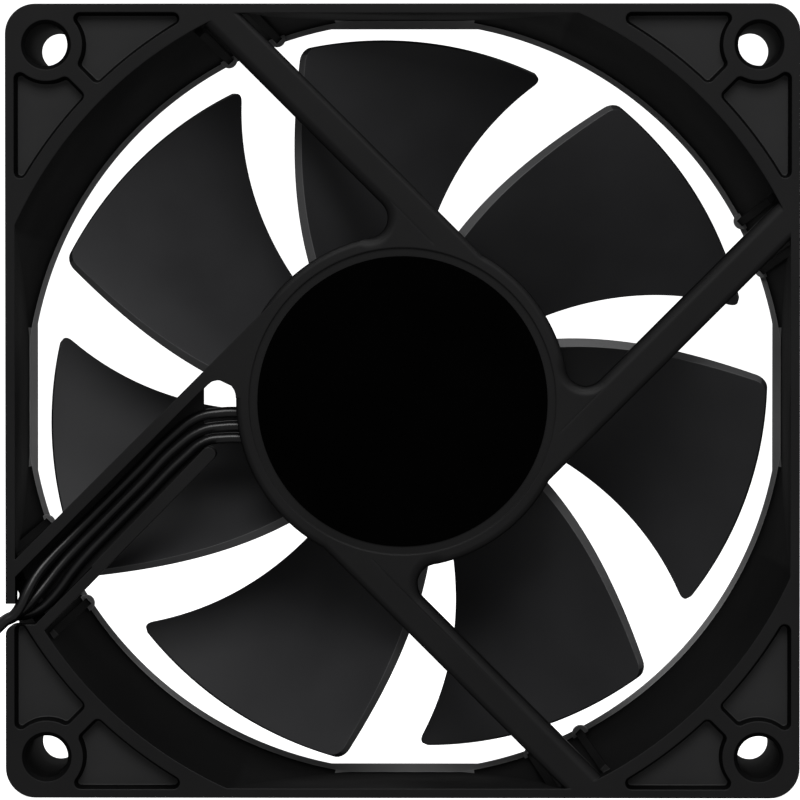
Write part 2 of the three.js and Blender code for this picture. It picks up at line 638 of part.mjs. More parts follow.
function coilWinding(pole) {
  const lowZ = CORE_Z[0] - BOBBIN_PLATE - 2 * FIT;
  const highZ = CORE_Z[1] + BOBBIN_PLATE + 2 * FIT;
  const width = BOBBIN_ARM + 2 * FIT;
  const shape = roundedRectangle(width + 2 * WINDING_T, highZ - lowZ + 2 * WINDING_T, WINDING_T);
  shape.holes.push(roundedRectangle(width, highZ - lowZ, WINDING_CORNER, THREE.Path));
  const length = WINDING_R[1] - WINDING_R[0];
  const winding = new THREE.ExtrudeGeometry(shape, { depth: length, bevelEnabled: false, curveSegments: 2 });
  winding.rotateX(QUARTER).translate(0, 0, (lowZ + highZ) / 2);
  winding.rotateZ(QUARTER).translate(WINDING_R[0], 0, 0);
  return winding.rotateZ(pole * QUARTER);
}

function circuitBoard() {
  return tubeRing(...BOARD_R, ...BOARD_Z, HUB_SEGMENTS);
}

// A small part on the motor side of the board, at a radius and an angle.
function boardPart(size, radius, degrees) {
  const angle = THREE.MathUtils.degToRad(degrees);
  const highZ = BOARD_Z[0] - FIT / 2;
  const low = new THREE.Vector3(radius - size.x / 2, -size.y / 2, highZ - size.z);
  const high = new THREE.Vector3(radius + size.x / 2, size.y / 2, highZ);
  return block(low, high).rotateZ(angle);
}

function solderJoint(y) {
  const z = BOARD_Z[1] + FIT / 2;
  const dome = profileArc(0, z, SOLDER_R, 0, QUARTER, 3);
  dome[dome.length - 1][0] = 0;
  return turned([[0, z], ...dome], 12).translate(SOLDER_X, y, 0);
}

// ---- Rotor --------------------------------------------------------------------------------------------------------

function hubCup() {
  const edge = profileArc(HUB_R - HUB_EDGE_R, HUB_Z + HUB_EDGE_R, HUB_EDGE_R, -QUARTER, 0, 3);
  const bushBore = BUSH_R + FIT;
  const faceZ = HUB_Z + HUB_FACE_T;
  return solidOf(turned([
    [0, HUB_Z], ...edge, [HUB_R, HUB_RIM_Z], [HUB_WALL_R, HUB_RIM_Z], [HUB_WALL_R, faceZ], [HUB_BOSS_R, faceZ],
    [HUB_BOSS_R, HUB_BOSS_Z], [bushBore, HUB_BOSS_Z], [bushBore, faceZ - FIT], [0, faceZ - FIT],
  ], HUB_SEGMENTS));
}

// Blade edges as angles about the axis, in degrees at a radius: the leading edge at the intake side, and the trailing
// edge at the exhaust side, anticlockwise of it as seen from the exhaust side.
function leadingAngle(r) {
  const d = r - 32.3;
  return 22.67 - 0.7485 * d - 0.0076 * d * d;
}

function trailingAngle(r) {
  const d = r - 31.6;
  return 360 / BLADE_COUNT + 9.98 - 0.734 * d + 0.0083 * d * d;
}

// A point of the blade's middle surface: s runs from the leading to the trailing edge, and t from root to tip.
function bladePoint(s, t) {
  const tipR = TIP_R_LEADING + (TIP_R_TRAILING - TIP_R_LEADING) * s;
  const r = BLADE_ROOT_R + (tipR - BLADE_ROOT_R) * t;
  const angle = THREE.MathUtils.degToRad(leadingAngle(r) + (trailingAngle(r) - leadingAngle(r)) * s);
  const lowZ = THREE.MathUtils.lerp(BLADE_LOW_Z[0], BLADE_LOW_Z[1], t);
  const highZ = THREE.MathUtils.lerp(BLADE_HIGH_Z[0], BLADE_HIGH_Z[1], t);
  const rise = (1 - BLADE_CAMBER) * s + BLADE_CAMBER * s * s;
  return new THREE.Vector3(r * Math.cos(angle), r * Math.sin(angle), lowZ + (highZ - lowZ) * rise);
}

function bladeNormal(s, t) {
  const step = 0.01;
  const along = bladePoint(s + step, t).sub(bladePoint(s - step, t));
  const across = bladePoint(s, t + step).sub(bladePoint(s, t - step));
  return along.cross(across).normalize();
}

// One blade as a closed skin: two sheets of points half the thickness off the middle surface, and a rim between them.
function bladeGeometry() {
  const columns = BLADE_STEPS[0] + 1;
  const rows = BLADE_STEPS[1] + 1;
  const positions = [];
  for (const side of [1, -1]) {
    for (let row = 0; row < rows; row += 1) {
      for (let column = 0; column < columns; column += 1) {
        const s = column / BLADE_STEPS[0];
        const t = row / BLADE_STEPS[1];
        const point = bladePoint(s, t).addScaledVector(bladeNormal(s, t), (side * BLADE_T) / 2);
        positions.push(point.x, point.y, point.z);
      }
    }
  }
  const sheet = rows * columns;
  const faces = [];
  const addQuad = (a, b, c, d) => faces.push(a, b, c, a, c, d);
  for (let row = 0; row < rows - 1; row += 1) {
    for (let column = 0; column < columns - 1; column += 1) {
      const a = row * columns + column;
      addQuad(a, a + 1, a + columns + 1, a + columns);
      addQuad(sheet + a, sheet + a + columns, sheet + a + columns + 1, sheet + a + 1);
    }
  }
  const rim = [];
  for (let column = 0; column < columns; column += 1) rim.push(column);
  for (let row = 1; row < rows; row += 1) rim.push(row * columns + columns - 1);
  for (let column = columns - 2; column >= 0; column -= 1) rim.push((rows - 1) * columns + column);
  for (let row = rows - 2; row > 0; row -= 1) rim.push(row * columns);
  rim.forEach((a, i) => {
    const b = rim[(i + 1) % rim.length];
    addQuad(b, a, sheet + a, sheet + b);
  });
  const geometry = new THREE.BufferGeometry();
  geometry.setAttribute('position', new THREE.Float32BufferAttribute(positions, 3));
  geometry.setIndex(faces);
  return geometry;
}

function impeller() {
  const blade = solidOf(bladeGeometry());
  const solids = [hubCup()];
  for (let i = 0; i < BLADE_COUNT; i += 1) {
    solids.push(blade.rotate([0, 0, (360 / BLADE_COUNT) * i]));
  }
  return geometryOf(joined(solids));
}

function yokeCup() {
  const lowZ = HUB_Z + HUB_FACE_T + FIT;
  const [inner, outer] = YOKE_R;
  return turned([
    [HUB_BOSS_R + FIT, lowZ], [outer, lowZ], [outer, YOKE_RIM_Z], [inner, YOKE_RIM_Z],
    [inner, lowZ + YOKE_FACE_T], [HUB_BOSS_R + FIT, lowZ + YOKE_FACE_T], [HUB_BOSS_R + FIT, lowZ],
  ], HUB_SEGMENTS);
}

function shaft() {
  const [lowZ, highZ] = SHAFT_Z;
  const endR = SHAFT_R - SHAFT_CHAMFER;
  return turned([
    [0, lowZ], [endR, lowZ], [SHAFT_R, lowZ + SHAFT_CHAMFER], [SHAFT_R, GROOVE_Z[0]], [GROOVE_R, GROOVE_Z[0]],
    [GROOVE_R, GROOVE_Z[1]], [SHAFT_R, GROOVE_Z[1]], [SHAFT_R, highZ - SHAFT_CHAMFER], [endR, highZ], [0, highZ],
  ], SMALL_SEGMENTS);
}

function retainingClip() {
  const shape = new THREE.Shape();
  shape.absarc(0, 0, CLIP_R, CLIP_OPENING, 4 * QUARTER - CLIP_OPENING, false);
  shape.absarc(0, 0, GROOVE_R + FIT, 4 * QUARTER - 2 * CLIP_OPENING, 2 * CLIP_OPENING, true);
  shape.closePath();
  return plateOf(shape, GROOVE_Z[0] + FIT, GROOVE_Z[1] - FIT, SMALL_SEGMENTS / 2);
}

// ---- Leads --------------------------------------------------------------------------------------------------------

// A point of the fan's own frame, in the standing object's frame.
function standing(x, y, z) {
  return new THREE.Vector3(x, DEPTH / 2 - z, SIDE / 2 + y);
}

// Each lead's way from its solder joint, out of the hub base, along its lane of the channel and through the notch,
// where the three lie on top of each other.
const LEAD_POINTS = [
  [[-14.5, -1.35, 21.6], [-18.0, -1.35, 21.6], [-21.2, -1.4, 21.6], [-23.9, -1.95, 21.6], [-26.8, -4.05, 21.6],
    [-31.0, -8.23, 21.6], [-35.2, -12.43, 21.6], [-38.6, -15.85, 22.0], [-40.8, -18.1, 22.8], [-42.5, -20.2, 23.6],
    [-43.6, -22.2, 24.1], [-44.3, -23.7, 24.25], [-45.1, -24.85, 24.25], [-46.1, -25.55, 24.25]],
  [[-14.5, -2.95, 21.6], [-18.0, -2.95, 21.6], [-20.9, -3.0, 21.6], [-23.5, -3.5, 21.6], [-26.4, -5.48, 21.6],
    [-30.6, -9.74, 21.6], [-34.8, -13.94, 21.6], [-38.2, -17.4, 21.65], [-40.0, -19.4, 21.9],
    [-41.5, -21.3, 22.3], [-42.8, -22.9, 22.75], [-43.9, -24.1, 22.93], [-45.0, -25.0, 22.93],
    [-46.1, -25.55, 22.93]],
  [[-14.5, -4.35, 21.6], [-18.0, -4.35, 21.6], [-20.6, -4.35, 21.6], [-23.0, -4.72, 21.6], [-25.6, -6.72, 21.6],
    [-30.0, -11.12, 21.6], [-34.2, -15.32, 21.6], [-36.8, -18.0, 21.6], [-38.5, -20.0, 21.6],
    [-39.8, -21.8, 21.6], [-41.0, -23.2, 21.6], [-42.3, -24.3, 21.6], [-44.0, -24.95, 21.6],
    [-45.1, -25.08, 21.6], [-46.2, -25.5, 21.6]],
];

// The middle of the twisted bundle from the notch down to the floor, where it reaches the coil.
const DROP_POINTS = [
  [-46.1, -10.45, 20.45], [-47.6, -10.5, 19.7], [-49.8, -10.65, 17.4], [-51.8, -11, 14], [-53.2, -11.8, 10],
  [-54.7, -12.9, 6], [-57, -14.2, 3.1], [-60.5, -15, 1.75], [-66, -15.4, 1.45],
];

// The middle of the bundle from the coil to the plug.
const TAIL_POINTS = [
  [-79.4, -2, 4.3], [-79.4, 2, 4.25], [-78.9, 6, 3.8], [-77.4, 10, 3.2], [-74.7, 13.6, 2.8], [-71, 15.9, 2.6],
  [-67.5, 16.7, 2.6], [-61.5, 16.7, 2.6],
];

function curveThrough(points) {
  return new THREE.CatmullRomCurve3(points, false, 'centripetal');
}

function middleLine(points) {
  return curveThrough(points.map(([x, y, z]) => new THREE.Vector3(x, y, z)));
}

// A point of one wire of the twisted bundle: the three lie evenly round the bundle's middle line. The turn is counted
// in millimetres past the place where they lie in a row.
function twistedPoint(line, wire, distance, turn, radius = TWIST_R) {
  const along = distance / line.getLength();
  const direction = line.getTangentAt(along);
  const side = new THREE.Vector3(0, 0, 1).cross(direction).normalize();
  const rise = direction.clone().cross(side);
  const angle = TWIST_START + (turn / TWIST_PITCH + wire / LEAD_POINTS.length) * 4 * QUARTER;
  const offset = side.multiplyScalar(Math.cos(angle)).addScaledVector(rise, Math.sin(angle));
  return line.getPointAt(along).addScaledVector(offset, radius);
}

function wireTube(points) {
  const curve = curveThrough(points);
  const section = new THREE.Shape();
  section.absarc(0, 0, WIRE_R, 0, 4 * QUARTER, false);
  const steps = Math.ceil(curve.getLength() / WIRE_STEP);
  return new THREE.ExtrudeGeometry(section, { steps, extrudePath: curve, curveSegments: 4, bevelEnabled: false });
}

function leadTube(wire) {
  const points = LEAD_POINTS[wire].map((point) => standing(...point));
  const line = middleLine(DROP_POINTS);
  const stop = line.getLength() - COIL_APPROACH;
  points.push(twistedPoint(line, wire, TWIST_LEAD / 2, 0, SPREAD_R));
  const count = Math.round((stop - TWIST_LEAD) / TWIST_STEP);
  for (let i = 0; i <= count; i += 1) {
    const distance = THREE.MathUtils.lerp(TWIST_LEAD, stop, i / count);
    points.push(twistedPoint(line, wire, distance, distance - TWIST_LEAD));
  }
  return wireTube(points);
}

function tailTube(wire) {
  const line = middleLine(TAIL_POINTS);
  const endX = HOUSING_AT.x - HOUSING_SIZE.x / 2 + CONTACT_INSET - WIRE_END_GAP;
  const pinY = HOUSING_AT.y - (wire - 1) * PIN_PITCH;
  const spread = line.getLength() - TAIL_SPREAD;
  const count = Math.round((spread - COIL_APPROACH) / TWIST_STEP);
  const points = [];
  for (let i = 0; i <= count; i += 1) {
    const distance = THREE.MathUtils.lerp(COIL_APPROACH, spread, i / count);
    points.push(twistedPoint(line, wire, distance, distance - spread));
  }
  points.push(new THREE.Vector3(endX - PIN_RUN, pinY, CAVITY_Z), new THREE.Vector3(endX, pinY, CAVITY_Z));
  return wireTube(points);
}

// ---- Coil, tie and plug -------------------------------------------------------------------------------------------

// A bar across the coil's section, at the tie's place: its radial and vertical limits and its width.
function tieBar(radial, vertical, width) {
  const low = new THREE.Vector3(radial[0], -width / 2, vertical[0]);
  const high = new THREE.Vector3(radial[1], width / 2, vertical[1]);
  return solidOf(block(low, high).rotateZ(TIE_ANGLE).translate(COIL_CENTRE.x, COIL_CENTRE.y, 0));
}

function grown(limits, amount) {
  return [limits[0] - amount, limits[1] + amount];
}

const COIL_RADIAL = [COIL_INNER_R, COIL_OUTER_R];
const COIL_VERTICAL = [0, COIL_HEIGHT];
const TIE_RADIAL = grown(COIL_RADIAL, TIE_GAP - TIE_SQUEEZE);
const TIE_VERTICAL = [TIE_T, COIL_HEIGHT];

// The coiled leads as one ring, drawn in a little under the tie.
function wireCoil() {
  const low = COIL_CORNER;
  const high = COIL_HEIGHT - COIL_CORNER;
  const profile = [
    [COIL_INNER_R + low, 0], [COIL_OUTER_R - low, 0], [COIL_OUTER_R, low], [COIL_OUTER_R, high],
    [COIL_OUTER_R - low, COIL_HEIGHT], [COIL_INNER_R + low, COIL_HEIGHT], [COIL_INNER_R, high], [COIL_INNER_R, low],
    [COIL_INNER_R + low, 0],
  ];
  const ring = solidOf(turned(profile, SMALL_SEGMENTS).translate(COIL_CENTRE.x, COIL_CENTRE.y, 0));
  const width = TIE_WIDTH + 2 * TIE_SQUEEZE;
  const core = tieBar(grown(TIE_RADIAL, -TIE_GAP), grown(TIE_VERTICAL, -TIE_GAP), width);
  const around = tieBar(grown(COIL_RADIAL, 1), grown(COIL_VERTICAL, 1), width);
  return geometryOf(ring.subtract(around.subtract(core)));
}

function coilTie() {
  const band = tieBar(grown(TIE_RADIAL, TIE_T), grown(TIE_VERTICAL, TIE_T), TIE_WIDTH);
  const opening = tieBar(TIE_RADIAL, TIE_VERTICAL, TIE_WIDTH + 1);
  const middleR = (COIL_INNER_R + COIL_OUTER_R) / 2;
  const headRadial = grown([middleR, middleR], TIE_HEAD.x / 2);
  const head = tieBar(headRadial, [COIL_HEIGHT + TIE_T / 2, COIL_HEIGHT + TIE_HEAD.z], TIE_HEAD.y);
  return geometryOf(band.subtract(opening).add(head));
}

function plugBlock(size, x, y, z) {
  const half = size.clone().multiplyScalar(0.5);
  const middle = new THREE.Vector3(HOUSING_AT.x + x, HOUSING_AT.y + y, z);
  return solidOf(block(middle.clone().sub(half), middle.clone().add(half)));
}

function connectorHousing() {
  let housing = plugBlock(HOUSING_SIZE, 0, 0, HOUSING_SIZE.z / 2);
  const cavity = new THREE.Vector3(HOUSING_SIZE.x + 2, CAVITY, CAVITY);
  const ribX = (HOUSING_SIZE.x - HOUSING_RIB.x) / 2;
  for (let pin = -1; pin <= 1; pin += 1) {
    if (pin !== 0) {
      const ribZ = HOUSING_SIZE.z + HOUSING_RIB.z / 2 - FIT;
      housing = housing.add(plugBlock(HOUSING_RIB, ribX, pin * PIN_PITCH, ribZ));
    }
    housing = housing.subtract(plugBlock(cavity, 0, pin * PIN_PITCH, CAVITY_Z));
  }
  return geometryOf(housing);
}

function connectorContact(pin) {
  const x = CONTACT_INSET + (CONTACT_LENGTH - HOUSING_SIZE.x) / 2;
  const y = (1 - pin) * PIN_PITCH;
  const body = new THREE.Vector3(CONTACT_LENGTH, CONTACT_SIDE, CONTACT_SIDE);
  const bore = new THREE.Vector3(CONTACT_LENGTH + 1, CONTACT_BORE, CONTACT_BORE);
  return geometryOf(plugBlock(body, x, y, CAVITY_Z).subtract(plugBlock(bore, x, y, CAVITY_Z)));
}

// ---- The object ---------------------------------------------------------------------------------------------------

addPart(fan, 'frame_housing', geometryOf(frameHousing()), blackPlastic);
addPart(fan, 'impeller', impeller(), blackPlastic);
addPart(fan, 'label_disc', labelDisc(), labelFilm);
addPart(fan, 'dust_cap', dustCap(), rubber);
addPart(fan, 'bearing_tube', tubeRing(BEARING_R + FIT, TUBE_R, ...TUBE_Z, SMALL_SEGMENTS), brass);
addPart(fan, 'sleeve_bearing', tubeRing(BEARING_BORE_R, BEARING_R, ...BEARING_Z, SMALL_SEGMENTS), bronze);
addPart(fan, 'thrust_washer', tubeRing(...WASHER_R, ...WASHER_Z, SMALL_SEGMENTS), nylon);
addPart(fan, 'shaft', shaft(), steel);
addPart(fan, 'shaft_bush', tubeRing(SHAFT_R + FIT, BUSH_R, ...BUSH_Z, SMALL_SEGMENTS), brass);
addPart(fan, 'oil_ring', tubeRing(SHAFT_R + FIT, OIL_RING_R, ...OIL_RING_Z, SMALL_SEGMENTS), nylon);
addPart(fan, 'retaining_clip', retainingClip(), nylon);
addPart(fan, 'yoke_cup', yokeCup(), darkSteel);
addPart(fan, 'magnet_ring', tubeRing(...MAGNET_R, ...MAGNET_Z, HUB_SEGMENTS), ferrite);
addPart(fan, 'stator_core', statorCore(), darkSteel);
addPart(fan, 'insulator_upper', upperInsulator(), nylon);
addPart(fan, 'insulator_lower', lowerInsulator(), nylon);
for (let pole = 0; pole < POLE_COUNT; pole += 1) {
  addPart(fan, `coil_winding_${pole + 1}`, coilWinding(pole), copper);
}
addPart(fan, 'circuit_board', circuitBoard(), boardResin);
addPart(fan, 'hall_driver_ic', boardPart(DRIVER_SIZE, ...DRIVER_AT), rubber);
addPart(fan, 'filter_capacitor', boardPart(CAPACITOR_SIZE, ...CAPACITOR_AT), ceramic);
addPart(fan, 'chip_resistor', boardPart(RESISTOR_SIZE, ...RESISTOR_AT), ceramic);
EXIT_Y.forEach((y, wire) => {
  addPart(fan, `solder_joint_${wire + 1}`, solderJoint(y), solder);
  addPart(object, `wire_lead_${wire + 1}`, leadTube(wire), wireSleeve);
  addPart(object, `wire_tail_${wire + 1}`, tailTube(wire), wireSleeve);
  addPart(object, `connector_contact_${wire + 1}`, connectorContact(wire), brass);
});
addPart(object, 'wire_coil', wireCoil(), wireSleeve);
addPart(object, 'coil_tie', coilTie(), nylon);
addPart(object, 'connector_housing', connectorHousing(), blackPlastic);

export default object;
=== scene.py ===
import bisect
import json
import math

import bmesh
import bpy
from mathutils import Matrix, Vector


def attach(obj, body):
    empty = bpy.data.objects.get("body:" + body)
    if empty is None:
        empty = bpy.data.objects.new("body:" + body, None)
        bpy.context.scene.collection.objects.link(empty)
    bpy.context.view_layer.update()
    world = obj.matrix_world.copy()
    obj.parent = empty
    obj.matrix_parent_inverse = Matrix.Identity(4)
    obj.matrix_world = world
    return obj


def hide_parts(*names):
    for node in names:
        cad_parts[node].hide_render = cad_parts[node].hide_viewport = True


# A 92 mm axial case fan, seen from its exhaust side. Solids are made in millimetres in the fan's own
# frame, with X to the right, Y up and Z along the airflow from the intake face. They are stood up in the
# CAD's frame when they are done.

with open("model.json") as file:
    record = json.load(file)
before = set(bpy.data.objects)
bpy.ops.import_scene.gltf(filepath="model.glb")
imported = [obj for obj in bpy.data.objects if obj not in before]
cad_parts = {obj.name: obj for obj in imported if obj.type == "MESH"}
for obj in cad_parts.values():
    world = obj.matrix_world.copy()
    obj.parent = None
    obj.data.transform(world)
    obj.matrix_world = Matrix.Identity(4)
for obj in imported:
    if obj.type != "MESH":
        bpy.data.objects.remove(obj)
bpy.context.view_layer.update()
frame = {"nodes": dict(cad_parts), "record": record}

MM = 0.001
TURN = 2 * math.pi
QUARTER = TURN / 4
STAND = Matrix(((MM, 0, 0, 0), (0, 0, -MM, 0.0125), (0, MM, 0, 0.046), (0, 0, 0, 1)))

# ---- Camera --------------------------------------------------------------------------------------

CAMERA_AT = (0.0087, -0.7203, 0.0617)
CAMERA_TARGET = (-0.00028, -0.0125, 0.04615)
CAMERA_LENS = 275.3
CAMERA_SENSOR = 36
CAMERA_CLIP = 0.01


def make_camera():
    data = bpy.data.cameras.new("camera")
    data.lens = CAMERA_LENS
    data.sensor_width = CAMERA_SENSOR
    data.clip_start = CAMERA_CLIP
    camera = bpy.data.objects.new("camera", data)
    camera.location = CAMERA_AT
    towards = Vector(CAMERA_TARGET) - Vector(CAMERA_AT)
    camera.rotation_euler = towards.to_track_quat("-Z", "Y").to_euler()
    bpy.context.scene.collection.objects.link(camera)
    bpy.context.scene.camera = camera


make_camera()

# ---- Leads ---------------------------------------------------------------------------------------

WIRE_R = 0.63
WIRE_STEP = 3.5
TWIST_R = 0.8
TWIST_PITCH = 30
TWIST_LEAD = 8
TWIST_START = -QUARTER / 3
SPREAD_R = 1.3
COIL_CENTRE = Vector((-66, -2, 0))
COIL_RADII = (13.4, 10.6, 10.6, 13.4)
COIL_LAYERS = (0, 0, 1, 1)
COIL_LOW_Z = 1.43
COIL_LAYER_H = 2.85
COIL_TURNS = 3.25
COIL_POINTS = 24
COIL_SHIFT = 1 / 6
PIN_Y = 16.7
PIN_PITCH = 2.54
PIN_Z = 2.6
WIRE_END_X = -59.8
PIN_RUN = 4.5

# Each lead's way from its solder joint to the notch, in the fan's own frame.
LEAD_POINTS = [
    [(-14.5, -1.35, 21.6), (-18.0, -1.35, 21.6), (-21.2, -1.4, 21.6), (-23.9, -1.95, 21.6),
     (-26.8, -4.05, 21.6), (-31.0, -8.23, 21.6), (-35.2, -12.43, 21.6), (-38.6, -15.85, 22.0),
     (-40.8, -18.1, 22.8), (-42.5, -20.2, 23.6), (-43.6, -22.2, 24.1), (-44.3, -23.7, 24.25),
     (-45.1, -24.85, 24.25), (-46.1, -25.55, 24.25)],
    [(-14.5, -2.95, 21.6), (-18.0, -2.95, 21.6), (-20.9, -3.0, 21.6), (-23.5, -3.5, 21.6),
     (-26.4, -5.48, 21.6), (-30.6, -9.74, 21.6), (-34.8, -13.94, 21.6), (-38.2, -17.4, 21.65),
     (-40.0, -19.4, 21.9), (-41.5, -21.3, 22.3), (-42.8, -22.9, 22.75), (-43.9, -24.1, 22.93),
     (-45.0, -25.0, 22.93), (-46.1, -25.55, 22.93)],
    [(-14.5, -4.35, 21.6), (-18.0, -4.35, 21.6), (-20.6, -4.35, 21.6), (-23.0, -4.72, 21.6),
     (-25.6, -6.72, 21.6), (-30.0, -11.12, 21.6), (-34.2, -15.32, 21.6), (-36.8, -18.0, 21.6),
     (-38.5, -20.0, 21.6), (-39.8, -21.8, 21.6), (-41.0, -23.2, 21.6), (-42.3, -24.3, 21.6),
     (-44.0, -24.95, 21.6), (-45.1, -25.08, 21.6), (-46.2, -25.5, 21.6)],
]

# The middle of the twisted bundle from the notch to the coil, and from the coil to the plug, in the CAD's
# frame in millimetres.
DROP_POINTS = [
    (-46.1, -10.45, 20.45), (-47.6, -10.5, 19.7), (-49.8, -10.65, 17.4), (-51.8, -11, 14), (-53.2, -11.8, 10),
    (-54.7, -12.9, 6), (-57, -14.2, 3.1), (-60.5, -15, 1.75), (-66, -15.4, 1.45),
]
TAIL_POINTS = [
    (-79.4, -2, 4.3), (-79.4, 2, 4.25), (-78.9, 6, 3.8), (-77.4, 10, 3.2), (-74.7, 13.6, 2.8),
    (-71, 15.9, 2.6), (-67.5, 16.7, 2.6), (-61.5, 16.7, 2.6),
]


class Line:
    """A centripetal Catmull-Rom curve through points, measured along its length."""

    STEPS = 16

    def __init__(self, points):
        points = [Vector(p) for p in points]
        ends = [points[0] * 2 - points[1], *points, points[-1] * 2 - points[-2]]
        self.points = []
        for four in zip(ends, ends[1:], ends[2:], ends[3:]):
            knots = [0]
            for a, b in zip(four, four[1:]):
                knots.append(knots[-1] + math.sqrt((b - a).length))
            for i in range(self.STEPS):
                self.points.append(self.between(four, knots, i / self.STEPS))
        self.points.append(points[-1])
        self.distances = [0]
        for a, b in zip(self.points, self.points[1:]):
            self.distances.append(self.distances[-1] + (b - a).length)
        self.length = self.distances[-1]

    @staticmethod
    def between(four, knots, share):
        at = knots[1] + (knots[2] - knots[1]) * share
        row = list(four)
        for level in (1, 2):
            row = [row[i].lerp(row[i + 1], (at - knots[i]) / (knots[i + level] - knots[i]))
                   for i in range(len(row) - 1)]
        return row[0].lerp(row[1], share)

    def at(self, distance):
        """The point and the direction at a distance from the start."""
        i = min(max(bisect.bisect(self.distances, distance), 1), len(self.points) - 1)
        a, b = self.points[i - 1], self.points[i]
        share = (distance - self.distances[i - 1]) / (self.distances[i] - self.distances[i - 1])
        return a.lerp(b, share), (b - a).normalized()


def coil_points():
    """The bundle's middle round the coil, clockwise from above, between the drop and the tail."""
    points = []
    for i in range(1, int(COIL_TURNS * COIL_POINTS)):
        turns = i / COIL_POINTS
        index = int(turns)
        share = max(0, (turns - index - 1 + COIL_SHIFT) / COIL_SHIFT)
        share = share * share * (3 - 2 * share)
        after = min(index + 1, len(COIL_RADII) - 1)
        radius = COIL_RADII[index] + (COIL_RADII[after] - COIL_RADII[index]) * share
        layer = COIL_LAYERS[index] + (COIL_LAYERS[after] - COIL_LAYERS[index]) * share
        angle = -QUARTER - TURN * turns
        height = COIL_LOW_Z + COIL_LAYER_H * layer
        offset = Vector((radius * math.cos(angle), radius * math.sin(angle), height))
        points.append(COIL_CENTRE + offset)
    return points


def twisted_point(line, wire, distance, turns, radius=TWIST_R):
    """A point of one wire of the bundle, beside the bundle's middle line."""
    point, direction = line.at(distance)
    side = Vector((0, 0, 1)).cross(direction).normalized()
    rise = direction.cross(side)
    angle = TWIST_START + TURN * (turns + wire / len(LEAD_POINTS))
    return point + (side * math.cos(angle) + rise * math.sin(angle)) * radius


def lead_points(wire):
    """One wire's way from its solder joint to its contact, in the CAD's frame in metres."""
    points = [STAND @ Vector(p) for p in LEAD_POINTS[wire]]
    line = Line([*DROP_POINTS, *coil_points(), *TAIL_POINTS])
    end = line.length - TWIST_LEAD
    run = end - TWIST_LEAD
    twists = round(run / TWIST_PITCH)
    steps = round(run / WIRE_STEP)
    bundle = [twisted_point(line, wire, TWIST_LEAD / 2, 0, SPREAD_R)]
    for i in range(steps + 1):
        bundle.append(twisted_point(line, wire, TWIST_LEAD + run * i / steps, twists * i / steps))
    pin_y = PIN_Y - (wire - 1) * PIN_PITCH
    bundle.append(Vector((WIRE_END_X - PIN_RUN, pin_y, PIN_Z)))
    bundle.append(Vector((WIRE_END_X, pin_y, PIN_Z)))
    return points + [p * MM for p in bundle]


def make_lead(wire):
    curve = bpy.data.curves.new(f"lead_{wire + 1}", "CURVE")
    curve.dimensions = "3D"
    curve.bevel_depth = WIRE_R * MM
    curve.bevel_resolution = 4
    curve.resolution_u = 8
    curve.use_fill_caps = True
    points = lead_points(wire)
    spline = curve.splines.new("BEZIER")
    spline.bezier_points.add(len(points) - 1)
    for knot, point in zip(spline.bezier_points, points):
        knot.co = point
        knot.handle_left_type = "AUTO"
        knot.handle_right_type = "AUTO"
    lead = bpy.data.objects.new(f"lead_{wire + 1}", curve)
    bpy.context.scene.collection.objects.link(lead)
    return lead


leads = [make_lead(wire) for wire in range(len(LEAD_POINTS))]

# ---- Solids --------------------------------------------------------------------------------------


def solid(vertices, faces):
    mesh = bpy.data.meshes.new("solid")
    mesh.from_pydata(vertices, [], faces)
    made = bmesh.new()
    made.from_mesh(mesh)
    bmesh.ops.recalc_face_normals(made, faces=made.faces)
    made.to_mesh(mesh)
    made.free()
    obj = bpy.data.objects.new("solid", mesh)
    bpy.context.scene.collection.objects.link(obj)
    return obj


def turned(profile, segments):
    """A body of revolution about Z from (radius, z) corners: a ring, or a disc with both ends on the axis."""
    vertices = []
    rings = []
    for radius, z in profile:
        if radius == 0:
            rings.append([len(vertices)] * segments)
            vertices.append((0, 0, z))
            continue
        rings.append(range(len(vertices), len(vertices) + segments))
        for i in range(segments):
            angle = TURN * i / segments
            vertices.append((radius * math.cos(angle), radius * math.sin(angle), z))
    if profile[0][0] != 0:
        rings.append(rings[0])
    faces = []
    for low, high in zip(rings, rings[1:]):
        for i in range(segments):
            j = (i + 1) % segments
            faces.append(list(dict.fromkeys((low[i], low[j], high[j], high[i]))))
    return solid(vertices, faces)


def prism(outline, low_z, high_z, top_outline=None):
    """A straight solid between two heights, or one that changes evenly into another outline.

    The two outlines have as many points.
    """
    count = len(outline)
    vertices = [(x, y, low_z) for x, y in outline] + [(x, y, high_z) for x, y in top_outline or outline]
    faces = [list(range(count))[::-1], list(range(count, 2 * count))]
    for i in range(count):
        j = (i + 1) % count
        faces.append([i, j, count + j, count + i])
    return solid(vertices, faces)


def block(low, high):
    outline = [(low[0], low[1]), (high[0], low[1]), (high[0], high[1]), (low[0], high[1])]
    return prism(outline, low[2], high[2])


# Swaps Y and Z, so that a section drawn in XY is drawn out along Y.
ALONG_Y = Matrix(((1, 0, 0, 0), (0, 0, 1, 0), (0, 1, 0, 0), (0, 0, 0, 1)))


def moved(obj, matrix):
    obj.data.transform(matrix)
    return obj


def spun(obj, angle):
    return moved(obj, Matrix.Rotation(angle, 4, "Z"))


def copied(obj):
    copy = bpy.data.objects.new("solid", obj.data.copy())
    bpy.context.scene.collection.objects.link(copy)
    return copy


def combined(obj, tool, operation):
    """obj after a boolean with the tool, which is used up."""
    modifier = obj.modifiers.new("boolean", "BOOLEAN")
    modifier.object = tool
    modifier.operation = operation
    modifier.solver = "MANIFOLD"
    result = bpy.data.meshes.new_from_object(obj.evaluated_get(bpy.context.evaluated_depsgraph_get()))
    obj.modifiers.clear()
    obj.data = result
    bpy.data.objects.remove(tool)
    return obj


